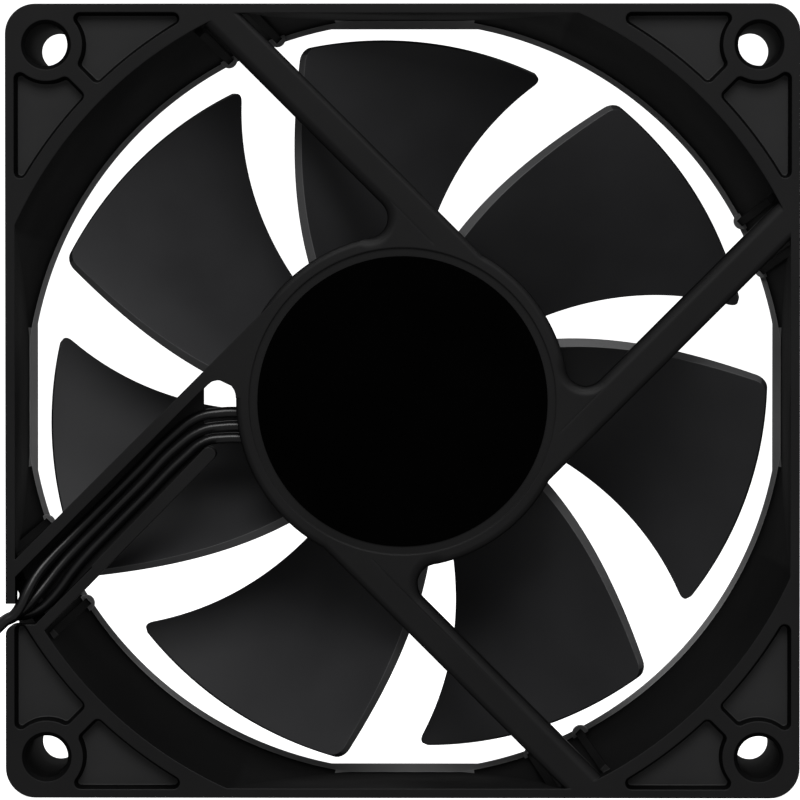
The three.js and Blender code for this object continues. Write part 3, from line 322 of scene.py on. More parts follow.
def joined(solids):
    whole = solids[0]
    for other in solids[1:]:
        combined(whole, other, "UNION")
    return whole


def cut(obj, tool):
    return combined(obj, tool, "DIFFERENCE")


def common(obj, tool):
    return combined(obj, tool, "INTERSECT")


def arc(centre, radius, start, end, steps):
    points = []
    for i in range(steps + 1):
        angle = start + (end - start) * i / steps
        points.append((centre[0] + radius * math.cos(angle), centre[1] + radius * math.sin(angle)))
    return points


def rounded_rectangle(width, height, radius, steps):
    x, y = width / 2 - radius, height / 2 - radius
    points = []
    for i, (sx, sy) in enumerate(((1, 1), (-1, 1), (-1, -1), (1, -1))):
        points += arc((sx * x, sy * y), radius, i * QUARTER, (i + 1) * QUARTER, steps)
    return points


def bearing(start, end):
    return math.atan2(end[1] - start[1], end[0] - start[0])


# ---- Frame moulding ------------------------------------------------------------------------------

SIDE = 92
DEPTH = 25
CORNER_R = 3.5
HOLE_OFFSET = 82.5 / 2
HOLE_R_EXHAUST = 2.44
HOLE_R_INTAKE = 2.15
HOLE_CHAMFER = 0.45
FLANGE_T = 4
THROAT_R = 44.77
THROAT_FLAT = 43.9
LEDGE_R = 45.4
LEDGE_Z = 1.6
MOUTH_R = 1.2
OPENING_R = 49.3
OPENING_FLAT = 44.9
DUCT_WALL = 1.4
DUCT_SIDE = 45.9
BOSS_R = 3.9
GUSSET_T = 1.6
OVERLAP = 0.5
POCKET_DEPTH = 2
POCKET_SIDE = 44.85
POCKET_ARC_R = 51
POCKET_BOSS_R = 4.34
POCKET_RIB = 1
POCKET_FILLET = 0.6
POCKET_GROWTH = (-0.2, 0.15)
BASE_R = 19.3
BASE_EDGE_R = 0.7
BASE_PLATE_Z = 23.4
SKIRT_R = 17.9
SKIRT_Z = 20.9
LABEL_RECESS_R = 17.8
LABEL_RECESS = 0.35
COLLAR_BORE_R = 4.72
COLLAR_R = 6.2
COLLAR_Z = 21.4
CAP_BORE_R = 4.2
STRUT_COUNT = 4
STRUT_INNER = 14.45
STRUT_OUTER = 18.5
STRUT_Z = 21.3
STRUT_INNER_ROUND = 1.2
STRUT_OUTER_ROUND = 0.7
STRUT_FILLET = 2.3
STRUT_REACH = 48.4
WEB_OVERLAP = 0.9
WEB_START = 0.36
WEB_ROOT = 0.82
RAIL_INNER = 17.35
RAIL_OUTER = 18.75
RAIL_FILLET = 2
GUARD_START = 20.2
GUARD_INNER = (10.75, 10.55)
GUARD_OUTER = (12.35, 11.8)
FLOOR_Z = (20.3, 20.9)
FLOOR_EDGE_X = -23.16
FLOOR_Y = (8, 46)
FLOOR_INSET = 0.4
NOTCH_TOP_Y = -23.5
NOTCH_LOW_Y = -25.9
NOTCH_ROUND = 1.2
NOTCH_START_X = -36
LEAD_SLOT_Y = (-5.3, -0.4)
LEAD_SLOT_Z = 22.6
RIB_WIDTH = 0.9
RIB_HEIGHT = 0.7
RIB_TOP_Z = DEPTH - 1.5
RIB_ROOT = 1
PAD_R = 1
PAD_Z = (1.2, 2.5)
STRUT_RIBS = (13.6, 19.45)
CHANNEL_RIBS = (9.5, 19.6)

DUCT_SEGMENTS = 240
HUB_SEGMENTS = 144
HOLE_SEGMENTS = 48


def duct_radius(z):
    return LEDGE_R + (OPENING_R - LEDGE_R) * (z - LEDGE_Z) / (DEPTH - LEDGE_Z)


def passage_side(throat, ledge, opening):
    """The air passage's side from the rounded mouth to the exhaust face, as (distance, z) points."""
    mouth = arc((throat + MOUTH_R, MOUTH_R), MOUTH_R, -QUARTER, -2 * QUARTER, 8)
    return [(throat + MOUTH_R, -1), *mouth, (throat, LEDGE_Z), (ledge, LEDGE_Z), (opening, DEPTH),
            (opening, DEPTH + 1)]


def air_passage():
    """A flared round passage, cut flat on the four sides of the frame."""
    passage = turned([(0, -1), *passage_side(THROAT_R, LEDGE_R, OPENING_R), (0, DEPTH + 1)], DUCT_SEGMENTS)
    side = passage_side(THROAT_FLAT, OPENING_FLAT, OPENING_FLAT)
    for turn in (0, 1):
        flats = prism(side + [(-x, z) for x, z in side[::-1]], -SIDE, SIDE)
        flats.data.transform(ALONG_Y)
        flats.data.flip_normals()
        common(passage, spun(flats, turn * QUARTER))
    return passage


def duct_outside():
    low_z, high_z = OVERLAP, DEPTH - OVERLAP
    cone = turned([(0, low_z), (duct_radius(low_z) + DUCT_WALL, low_z), (OPENING_R + DUCT_WALL, high_z),
                   (0, high_z)], DUCT_SEGMENTS)
    return common(cone, block((-DUCT_SIDE, -DUCT_SIDE, 0), (DUCT_SIDE, DUCT_SIDE, DEPTH)))


def flange(low_z, high_z):
    return prism(rounded_rectangle(SIDE, SIDE, CORNER_R, 12), low_z, high_z)


def corner_boss(angle):
    reach = math.hypot(HOLE_OFFSET, HOLE_OFFSET)
    low_z, high_z = FLANGE_T - OVERLAP, DEPTH - FLANGE_T + OVERLAP
    boss = prism(arc((reach, 0), BOSS_R, 0, TURN, HOLE_SEGMENTS)[:-1], low_z, high_z)
    gusset = block((THROAT_R + DUCT_WALL, -GUSSET_T / 2, low_z), (reach, GUSSET_T / 2, high_z))
    return spun(joined([boss, gusset]), angle)


def screw_hole(angle):
    chamfer_r = HOLE_R_EXHAUST + HOLE_CHAMFER
    hole = turned([(0, -1), (HOLE_R_INTAKE + HOLE_CHAMFER, -1), (HOLE_R_INTAKE + HOLE_CHAMFER, 0),
                   (HOLE_R_INTAKE, HOLE_CHAMFER), (HOLE_R_EXHAUST, DEPTH - HOLE_CHAMFER), (chamfer_r, DEPTH),
                   (chamfer_r, DEPTH + 1), (0, DEPTH + 1)], HOLE_SEGMENTS)
    reach = math.hypot(HOLE_OFFSET, HOLE_OFFSET)
    return spun(moved(hole, Matrix.Translation((reach, 0, 0))), angle)


def pocket_outline(growth):
    """The recess beside the upper right screw hole, with its walls moved out by the growth.

    It runs along the frame's edge, the opening, the diagonal rib and the boss, with fillets between.
    """
    f = POCKET_FILLET
    hole = Vector((HOLE_OFFSET, HOLE_OFFSET))
    edge_y = POCKET_SIDE - f
    arc_r = POCKET_ARC_R + f
    boss_r = POCKET_BOSS_R + f
    offset = POCKET_RIB + f
    along = Vector((1, 1)).normalized()
    off = Vector((-1, 1)).normalized() * offset
    far = Vector((math.sqrt(arc_r ** 2 - edge_y ** 2), edge_y))
    low = along * math.sqrt(arc_r ** 2 - offset ** 2) + off
    near = along * (hole.length - math.sqrt(boss_r ** 2 - offset ** 2)) + off
    top = Vector((hole.x - math.sqrt(boss_r ** 2 - (hole.y - edge_y) ** 2), edge_y))
    origin = Vector((0, 0))
    down = -QUARTER / 2
    corner_r = f + growth
    outline = arc(far, corner_r, QUARTER, bearing(far, origin) + TURN, 8)
    outline += arc(origin, POCKET_ARC_R - growth, bearing(origin, far), bearing(origin, low), 12)[1:]
    outline += arc(low, corner_r, bearing(low, origin) + TURN, down + TURN, 8)[1:]
    outline += arc(near, corner_r, down, bearing(near, hole), 6)
    outline += arc(hole, POCKET_BOSS_R - growth, bearing(hole, near), bearing(hole, top) - TURN, 16)[1:]
    outline += arc(top, corner_r, bearing(top, hole), QUARTER, 8)[1:]
    return outline


def pockets():
    """The recesses, with walls that lean out a little up to the exhaust face."""
    floor = pocket_outline(POCKET_GROWTH[0])
    rim = pocket_outline(POCKET_GROWTH[1])
    made = []
    for corner in range(4):
        for swap in (False, True):
            low, high = [[(y, x) for x, y in side][::-1] if swap else side for side in (floor, rim)]
            recess = prism(low, DEPTH - POCKET_DEPTH, DEPTH, high)
            above = prism(high, DEPTH, DEPTH + 1)
            made.append(spun(joined([recess, above]), corner * QUARTER))
    return joined(made)


def hub_base():
    edge = arc((BASE_R - BASE_EDGE_R, DEPTH - BASE_EDGE_R), BASE_EDGE_R, 0, QUARTER, 8)
    recess_z = DEPTH - LABEL_RECESS
    return turned([
        (COLLAR_BORE_R, COLLAR_Z), (COLLAR_R, COLLAR_Z), (COLLAR_R, BASE_PLATE_Z), (SKIRT_R, BASE_PLATE_Z),
        (SKIRT_R, SKIRT_Z), (BASE_R, SKIRT_Z), *edge, (LABEL_RECESS_R, DEPTH), (LABEL_RECESS_R, recess_z),
        (CAP_BORE_R, recess_z), (CAP_BORE_R, BASE_PLATE_Z), (COLLAR_BORE_R, BASE_PLATE_Z),
    ], HUB_SEGMENTS)


def strut_angle(index):
    return (0.5 - index) * QUARTER


def strut_bar(index):
    section = [(STRUT_INNER, STRUT_Z), (STRUT_OUTER, STRUT_Z)]
    outer = (STRUT_OUTER - STRUT_OUTER_ROUND, DEPTH - STRUT_OUTER_ROUND)
    section += arc(outer, STRUT_OUTER_ROUND, 0, QUARTER, 6)
    section += arc((STRUT_INNER + STRUT_INNER_ROUND, DEPTH - STRUT_INNER_ROUND), STRUT_INNER_ROUND,
                   QUARTER, 2 * QUARTER, 8)
    bar = prism(section, 0, STRUT_REACH)
    bar.data.transform(ALONG_Y)
    bar.data.flip_normals()
    return spun(bar, strut_angle(index))


def corner_web(index, edge, radius, low_z):
    centre = Vector((edge - radius, math.sqrt((BASE_R + radius) ** 2 - (edge - radius) ** 2)))
    outline = [(edge + WEB_OVERLAP, centre.y), (edge + WEB_OVERLAP, centre.y * WEB_START),
               tuple(centre * WEB_ROOT)]
    outline += arc(centre, radius, bearing(centre, (0, 0)), 0, 10)
    return spun(prism(outline, low_z, DEPTH), strut_angle(index))


def web_rounding(index):
    """The tool that carries the rounding of a strut's inner edge on round the web's hollow corner."""
    radius, low_z = STRUT_FILLET, DEPTH - STRUT_INNER_ROUND
    centre = Vector((STRUT_INNER - radius, math.sqrt((BASE_R + radius) ** 2 - (STRUT_INNER - radius) ** 2)))
    edge = arc((radius + STRUT_INNER_ROUND, low_z), STRUT_INNER_ROUND, 2 * QUARTER, QUARTER, 8)
    tool = turned([(radius - OVERLAP, low_z), *edge, (radius + STRUT_INNER_ROUND, DEPTH + 1),
                   (radius - OVERLAP, DEPTH + 1)], HOLE_SEGMENTS)
    return spun(moved(tool, Matrix.Translation((centre.x, centre.y, 0))), strut_angle(index))


def lead_channel():
    index = STRUT_COUNT - 1
    angle = strut_angle(index)
    end_r = (GUARD_OUTER[0] - GUARD_INNER[0]) / 2
    rail = block((RAIL_INNER, 1, FLOOR_Z[0]), (RAIL_OUTER, STRUT_REACH, DEPTH))
    guard = arc((GUARD_INNER[0] + end_r, GUARD_START), end_r, -2 * QUARTER, 0, 12)
    guard += [(GUARD_OUTER[1], STRUT_REACH), (GUARD_INNER[1], STRUT_REACH)]
    floor_side = RAIL_OUTER - FLOOR_INSET
    floor_outline = [(GUARD_INNER[0], GUARD_START), (floor_side, FLOOR_Y[0]), (floor_side, FLOOR_Y[1]),
                     (GUARD_INNER[1], FLOOR_Y[1])]
    floor = spun(prism(floor_outline, *FLOOR_Z), angle)
    cut(floor, block((FLOOR_EDGE_X, -SIDE, 0), (1, SIDE, DEPTH)))
    return joined([spun(rail, angle), spun(prism(guard, FLOOR_Z[0], DEPTH), angle), floor,
                   corner_web(index, RAIL_INNER, RAIL_FILLET, FLOOR_Z[0])])


def lead_notch():
    side = -OPENING_FLAT
    root = math.sqrt(2)
    low_corner = NOTCH_LOW_Y - NOTCH_ROUND
    outline = [(side, side + RAIL_INNER * root), (side, NOTCH_TOP_Y), (-SIDE, NOTCH_TOP_Y),
               (-SIDE, low_corner)]
    outline += arc((NOTCH_ROUND - SIDE / 2, low_corner), NOTCH_ROUND, 2 * QUARTER, QUARTER, 8)
    outline += [(NOTCH_LOW_Y - GUARD_OUTER[1] * root, NOTCH_LOW_Y),
                (NOTCH_START_X, NOTCH_START_X + GUARD_OUTER[1] * root),
                (NOTCH_START_X, NOTCH_START_X + RAIL_INNER * root)]
    return prism(outline, FLOOR_Z[1], DEPTH + 1)


def hub_lead_slot():
    return block((-BASE_R - 1, LEAD_SLOT_Y[0], SKIRT_Z - 1), (-SKIRT_R + 1, LEAD_SLOT_Y[1], LEAD_SLOT_Z))


def wall_rib(index, offset):
    foot_y = math.sqrt(duct_radius(LEDGE_Z) ** 2 - offset ** 2)
    top_y = math.sqrt(duct_radius(RIB_TOP_Z) ** 2 - offset ** 2)
    low_x, high_x = offset - RIB_WIDTH / 2, offset + RIB_WIDTH / 2
    low_z = LEDGE_Z - OVERLAP
    section = [(foot_y - RIB_HEIGHT, low_z), (foot_y + RIB_ROOT, low_z), (top_y + RIB_ROOT, RIB_TOP_Z),
               (top_y - RIB_HEIGHT, RIB_TOP_Z)]
    vertices = [(x, y, z) for x in (low_x, high_x) for y, z in section]
    faces = [[3, 2, 1, 0], [4, 5, 6, 7]]
    faces += [[i, (i + 1) % 4, 4 + (i + 1) % 4, 4 + i] for i in range(4)]
    pad = prism(arc((offset, foot_y), PAD_R, 0, TURN, 24)[:-1], *PAD_Z)
    return spun(joined([solid(vertices, faces), pad]), strut_angle(index))


def frame_solid():
    shell = joined([flange(0, FLANGE_T), flange(DEPTH - FLANGE_T, DEPTH), duct_outside(),
                    *[corner_boss((corner + 0.5) * QUARTER) for corner in range(4)]])
    inside = []
    for index in range(STRUT_COUNT):
        offsets = CHANNEL_RIBS if index == STRUT_COUNT - 1 else STRUT_RIBS
        inside += [wall_rib(index, offset) for offset in offsets]
    for index in range(STRUT_COUNT - 1):
        inside += [strut_bar(index), corner_web(index, STRUT_INNER, STRUT_FILLET, STRUT_Z)]
    inside = joined([*inside, lead_channel()])
    common(inside, joined([copied(shell), air_passage()]))
    cut(shell, air_passage())
    joined([shell, inside])
    hollow_r = (SKIRT_R + BASE_R) / 2
    cut(shell, turned([(0, -1), (hollow_r, -1), (hollow_r, DEPTH + 1), (0, DEPTH + 1)], HUB_SEGMENTS))
    joined([shell, hub_base()])
    roundings = [web_rounding(index) for index in range(STRUT_COUNT - 1)]
    for tool in (*roundings, pockets(), lead_notch(), hub_lead_slot()):
        cut(shell, tool)
    for corner in range(4):
        cut(shell, screw_hole((corner + 0.5) * QUARTER))
    return shell


# ---- Impeller ------------------------------------------------------------------------------------

BLADE_COUNT = 7
BLADE_T = 1.2
BLADE_ROOT_R = 18.3
BLADE_LOW_Z = (3.4, 4.6)
BLADE_HIGH_Z = (19.2, 18.6)
BLADE_CAMBER = 0.35
BLADE_CHORD_STEPS = 44
BLADE_SPAN_STEPS = 22
BLADE_CORNER = (0.05, 0.035)
TIP_R_LEADING = 41.4
TIP_R_TRAILING = 42.5
HUB_R = 18.9
HUB_WALL_R = 17.75
HUB_Z = 2.4
HUB_FACE_T = 1.6
HUB_RIM_Z = 20
HUB_EDGE_R = 1.6
HUB_BOSS_R = 5.2
HUB_BOSS_Z = 7
HUB_INNER_STEP = 0.1
BUSH_BORE_R = 3.45


def mix(a, b, share):
    return a + (b - a) * share


def leading_angle(r):
    d = r - 32.3
    return math.radians(22.67 - 0.7485 * d - 0.0076 * d * d)


def trailing_angle(r):
    d = r - 31.6
    return math.radians(360 / BLADE_COUNT + 9.98 - 0.734 * d + 0.0083 * d * d)


def blade_point(s, t):
    r = mix(BLADE_ROOT_R, mix(TIP_R_LEADING, TIP_R_TRAILING, s), t)
    angle = mix(leading_angle(r), trailing_angle(r), s)
    rise = (1 - BLADE_CAMBER) * s + BLADE_CAMBER * s * s
    z = mix(mix(*BLADE_LOW_Z, t), mix(*BLADE_HIGH_Z, t), rise)
    return Vector((r * math.cos(angle), r * math.sin(angle), z))


def blade_normal(s, t):
    step = 0.01
    along = blade_point(s + step, t) - blade_point(s - step, t)
    across = blade_point(s, t + step) - blade_point(s, t - step)
    return along.cross(across).normalized()


def blade_reach(s):
    """How far towards the tip the blade goes, which is less in the rounded corners at the tip's ends."""
    depth, width = BLADE_CORNER
    inward = max(0, 1 - min(s, 1 - s) / width)
    return 1 - depth * (1 - math.sqrt(1 - inward * inward))


def blade_solid():
    columns, rows = BLADE_CHORD_STEPS + 1, BLADE_SPAN_STEPS + 1
    vertices = []
    for side in (1, -1):
        for row in range(rows):
            for column in range(columns):
                s = (1 - math.cos(math.pi * column / BLADE_CHORD_STEPS)) / 2
                t = row / BLADE_SPAN_STEPS * blade_reach(s)
                vertices.append(blade_point(s, t) + blade_normal(s, t) * (side * BLADE_T / 2))
    sheet = rows * columns
    faces = []
    for row in range(rows - 1):
        for column in range(columns - 1):
            a = row * columns + column
            faces.append([a, a + 1, a + columns + 1, a + columns])
            faces.append([sheet + i for i in (a, a + columns, a + columns + 1, a + 1)])
    rim = list(range(columns))
    rim += [row * columns + columns - 1 for row in range(1, rows)]
    rim += [(rows - 1) * columns + column for column in range(columns - 2, -1, -1)]
    rim += [row * columns for row in range(rows - 2, 0, -1)]
    for a, b in zip(rim, rim[1:] + rim[:1]):
        faces.append([b, a, sheet + a, sheet + b])
    return solid(vertices, faces)


def hub_cup():
    edge = arc((HUB_R - HUB_EDGE_R, HUB_Z + HUB_EDGE_R), HUB_EDGE_R, -QUARTER, 0, 10)
    face_z = HUB_Z + HUB_FACE_T
    seat_z = face_z - HUB_INNER_STEP
    return turned([
        (0, HUB_Z), *edge, (HUB_R, HUB_RIM_Z), (HUB_WALL_R, HUB_RIM_Z), (HUB_WALL_R, face_z),
        (HUB_BOSS_R, face_z), (HUB_BOSS_R, HUB_BOSS_Z), (BUSH_BORE_R, HUB_BOSS_Z), (BUSH_BORE_R, seat_z),
        (0, seat_z),
    ], HUB_SEGMENTS)


def impeller_solid():
    cup = hub_cup()
    for i in range(BLADE_COUNT):
        joined([cup, spun(blade_solid(), TURN * i / BLADE_COUNT)])
    return cup


# ---- Label, tie and plug -------------------------------------------------------------------------

LABEL_R = 16.8
LABEL_Z = (24.7, 24.9)
LABEL_EDGE_R = 0.08
TIE_RADIAL = (8.9, 15.1)
TIE_T = 0.6
TIE_TOP_Z = 5.7
TIE_WIDTH = 2.5
TIE_ROUND = 1.2
TIE_ANGLE = math.radians(35)
TIE_HEAD = (4.4, 4, 2.6)
TIE_HEAD_ROUND = 0.7
TIE_SLOT_Z = (1.2, 1.9)
TIE_TAIL = 3.2
TIE_TAIL_Z = (1.25, 1.85)
TIE_TAIL_INSET = 0.15
TIE_TAIL_END = 0.4
HOUSING_LOW = (-63, 12.9, 0)
HOUSING_HIGH = (-50, 20.5, 5.2)
CAVITY = 2
LATCH_SLOT_X = (4.6, 6.6)
LATCH_SLOT_HALF = 0.6
KEY_START = 3
KEY_HALF = 0.45
KEY_H = 0.5
KEY_ROOT = 0.1
GRIP_COUNT = 4
GRIP_START = 1.4
GRIP_PITCH = 1.1
GRIP_WIDTH = 0.5
GRIP_DEPTH = 0.25
GRIP_MARGIN = 0.8


def label_solid():
    low_z, high_z = LABEL_Z
    edge = arc((LABEL_R - LABEL_EDGE_R, high_z - LABEL_EDGE_R), LABEL_EDGE_R, 0, QUARTER, 3)
    return turned([(0, low_z), (LABEL_R, low_z), *edge, (0, high_z)], HUB_SEGMENTS)


def tie_solid():
    """A strap round the coil's section with its locking head on top, drawn about the coil's centre."""
    low_r, high_r = TIE_RADIAL
    middle = ((low_r + high_r) / 2, (TIE_T + TIE_TOP_Z) / 2)
    size = (high_r - low_r, TIE_TOP_Z - TIE_T)
    strap = prism(rounded_rectangle(size[0] + 2 * TIE_T, size[1] + 2 * TIE_T, TIE_ROUND + TIE_T, 6),
                  -TIE_WIDTH / 2, TIE_WIDTH / 2)
    cut(strap, prism(rounded_rectangle(*size, TIE_ROUND, 6), -TIE_WIDTH, TIE_WIDTH))
    strap.data.transform(ALONG_Y)
    strap.data.flip_normals()
    moved(strap, Matrix.Translation((middle[0], 0, middle[1])))
    length, width, height = TIE_HEAD
    outline = rounded_rectangle(length, width, TIE_HEAD_ROUND, 5)
    head = prism(outline, TIE_TOP_Z + TIE_T / 2, TIE_TOP_Z + height)
    slot_low, slot_high = [TIE_TOP_Z + z for z in TIE_SLOT_Z]
    cut(head, block((-length, -TIE_WIDTH / 2, slot_low), (length, TIE_WIDTH / 2, slot_high)))
    tail_low, tail_high = [TIE_TOP_Z + z for z in TIE_TAIL_Z]
    half = TIE_WIDTH / 2 - TIE_TAIL_INSET
    tail = block((-length / 2 - TIE_TAIL, -half, tail_low), (length / 2 - TIE_TAIL_END, half, tail_high))
    moved(head, Matrix.Translation((middle[0], 0, 0)))
    moved(tail, Matrix.Translation((middle[0], 0, 0)))
    tie = spun(joined([strap, head, tail]), TIE_ANGLE)
    return moved(tie, Matrix.Translation(COIL_CENTRE))


def housing_solid():
    body = block(HOUSING_LOW, HOUSING_HIGH)
    low_x, high_x, top_z = HOUSING_LOW[0], HOUSING_HIGH[0], HOUSING_HIGH[2]
    for pin in (-1, 0, 1):
        y = PIN_Y + pin * PIN_PITCH
        half = CAVITY / 2
        cut(body, block((low_x - 1, y - half, PIN_Z - half), (high_x + 1, y + half, PIN_Z + half)))
        cut(body, block((low_x + LATCH_SLOT_X[0], y - LATCH_SLOT_HALF, -1),
                        (low_x + LATCH_SLOT_X[1], y + LATCH_SLOT_HALF, PIN_Z)))
        if pin != 0:
            key = block((low_x + KEY_START, y - KEY_HALF, top_z - KEY_ROOT),
                        (high_x, y + KEY_HALF, top_z + KEY_H))
            joined([body, key])
    for side in (HOUSING_LOW[1], HOUSING_HIGH[1]):
        for i in range(GRIP_COUNT):
            x = low_x + GRIP_START + GRIP_PITCH * i
            cut(body, block((x, side - GRIP_DEPTH, GRIP_MARGIN),
                            (x + GRIP_WIDTH, side + GRIP_DEPTH, top_z - GRIP_MARGIN)))
    return body


# ---- Materials -----------------------------------------------------------------------------------


class Shader:
    """A material with its Principled shader, and short calls that add nodes to it."""

    def __init__(self, name, colour, roughness, **sockets):
        self.material = bpy.data.materials.new(name)
        self.material.use_nodes = True
        self.tree = self.material.node_tree
        self.surface = self.tree.nodes["Principled BSDF"]
        self.surface.inputs["Base Color"].default_value = (*colour, 1)
        self.surface.inputs["Roughness"].default_value = roughness
        for socket, value in sockets.items():
            self.surface.inputs[socket.replace("_", " ")].default_value = value
        self.material.diffuse_color = (*colour, 1)
        self.place = self.node("ShaderNodeTexCoord").outputs["Object"]

    def node(self, kind, links=None, **settings):
        made = self.tree.nodes.new(kind)
        for key, value in settings.items():
            setattr(made, key, value)
        for socket, value in (links or {}).items():
            self.feed(made.inputs[socket], value)
        return made

    def feed(self, socket, value):
        if isinstance(value, bpy.types.NodeSocket):
            self.tree.links.new(value, socket)
        else:
            socket.default_value = value

    def noise(self, size, detail=3, stretch=(1, 1, 1)):
        """Noise whose features are about size millimetres wide."""
        scaled = self.node("ShaderNodeMapping", {"Vector": self.place, "Scale": stretch}).outputs[0]
        made = self.node("ShaderNodeTexNoise", {"Vector": scaled, "Scale": 1 / (size * MM), "Detail": detail})
        return made.outputs["Fac"]

    def ranged(self, value, low, high, start=0.3, end=0.7):
        settings = {"Value": value, "From Min": start, "From Max": end, "To Min": low, "To Max": high}
        return self.node("ShaderNodeMapRange", settings).outputs["Result"]

    def tint(self, value, first, second):
        ramp = self.node("ShaderNodeMix", data_type="RGBA")
        self.feed(ramp.inputs[0], value)
        self.feed(ramp.inputs[6], first if isinstance(first, bpy.types.NodeSocket) else (*first, 1))
        self.feed(ramp.inputs[7], (*second, 1))
        return ramp.outputs[2]

    def rounded(self, radius):
        """The normal with edges rounded by a radius in millimetres."""
        return self.node("ShaderNodeBevel", {"Radius": radius * MM}, samples=6).outputs["Normal"]

    def edges(self, rounded):
        """1 on an edge that is rounded, and 0 elsewhere."""
        flat = self.node("ShaderNodeNewGeometry").outputs["Normal"]
        dot = self.node("ShaderNodeVectorMath", operation="DOT_PRODUCT")
        self.feed(dot.inputs[0], rounded)
        self.feed(dot.inputs[1], flat)
        return self.ranged(dot.outputs["Value"], 1, 0, 0.8, 0.99)

    def bump(self, height, depth, normal=None):
        """A normal from heights between 0 and 1, whose full depth is in millimetres."""
        links = {"Height": height, "Distance": depth * MM, "Strength": 1.0}
        if normal is not None:
            links["Normal"] = normal
        return self.node("ShaderNodeBump", links).outputs["Normal"]

    def finish(self, **sockets):
        for socket, value in sockets.items():
            self.feed(self.surface.inputs[socket.replace("_", " ")], value)
        return self.material


def moulded(name, colour, roughness, grain=0.12, grain_depth=0.006, edge=0.2, highlight_colour=None, spread=0.07,
            **sockets):
    """Moulded plastic: a fine grain, smoother and duller patches, and rounded edges with a patchy painted
    highlight in a lighter colour.
    """
    shader = Shader(name, colour, roughness, **sockets)
    rounded = shader.rounded(edge)
    patches = shader.noise(9, 4)
    fine = shader.noise(grain, 2)
    lighter = [c * 1.25 + 0.0004 for c in colour]
    base = shader.tint(shader.ranged(patches, 0, 1), colour, lighter)
    # Painted highlight: the rounded edges get a lighter colour, broken up by noise, standing in for the light
    # that edges catch.
    painted_highlight = shader.node("ShaderNodeMath", operation="MULTIPLY")
    shader.feed(painted_highlight.inputs[0], shader.edges(rounded))
    shader.feed(painted_highlight.inputs[1], shader.ranged(shader.noise(2.5, 4), 0.3, 0.9))
    base = shader.tint(painted_highlight.outputs[0], base, highlight_colour or [c * 2.4 + 0.003 for c in colour])
    rough = shader.ranged(patches, roughness - spread / 2, roughness + spread / 2)
    return shader.finish(Base_Color=base, Roughness=rough, Normal=shader.bump(fine, grain_depth, rounded))


def metal(name, colour, roughness, size=0.25, stretch=(1, 1, 1), depth=0.003, tarnish=0.75):
    """Metal with fine tool marks and slightly darker patches."""
    shader = Shader(name, colour, roughness, Metallic=1.0)
    marks = shader.noise(size, 3, stretch)
    patches = shader.noise(3, 4)
    base = shader.tint(shader.ranged(patches, 0, 1), colour, [c * tarnish for c in colour])
    rough = shader.ranged(marks, roughness - 0.08, roughness + 0.1)
    return shader.finish(Base_Color=base, Roughness=rough, Normal=shader.bump(marks, depth))


def winding_copper():
    """Enamelled wire: turns one beside another along each pole."""
    shader = Shader("winding_copper", (0.55, 0.2, 0.08), 0.32, Metallic=1.0, Coat_Weight=0.4)
    from_axis = {"Vector": shader.place, "Location": (0, 0, -STAND[2][3])}
    centred = shader.node("ShaderNodeMapping", from_axis).outputs[0]
    wave = shader.node("ShaderNodeTexWave", {"Vector": centred, "Scale": 700, "Distortion": 0.15},
                       wave_type="RINGS", rings_direction="Y")
    turns = wave.outputs["Fac"]
    base = shader.tint(turns, (0.22, 0.07, 0.03), (0.6, 0.23, 0.09))
    return shader.finish(Base_Color=base, Normal=shader.bump(turns, 0.12))


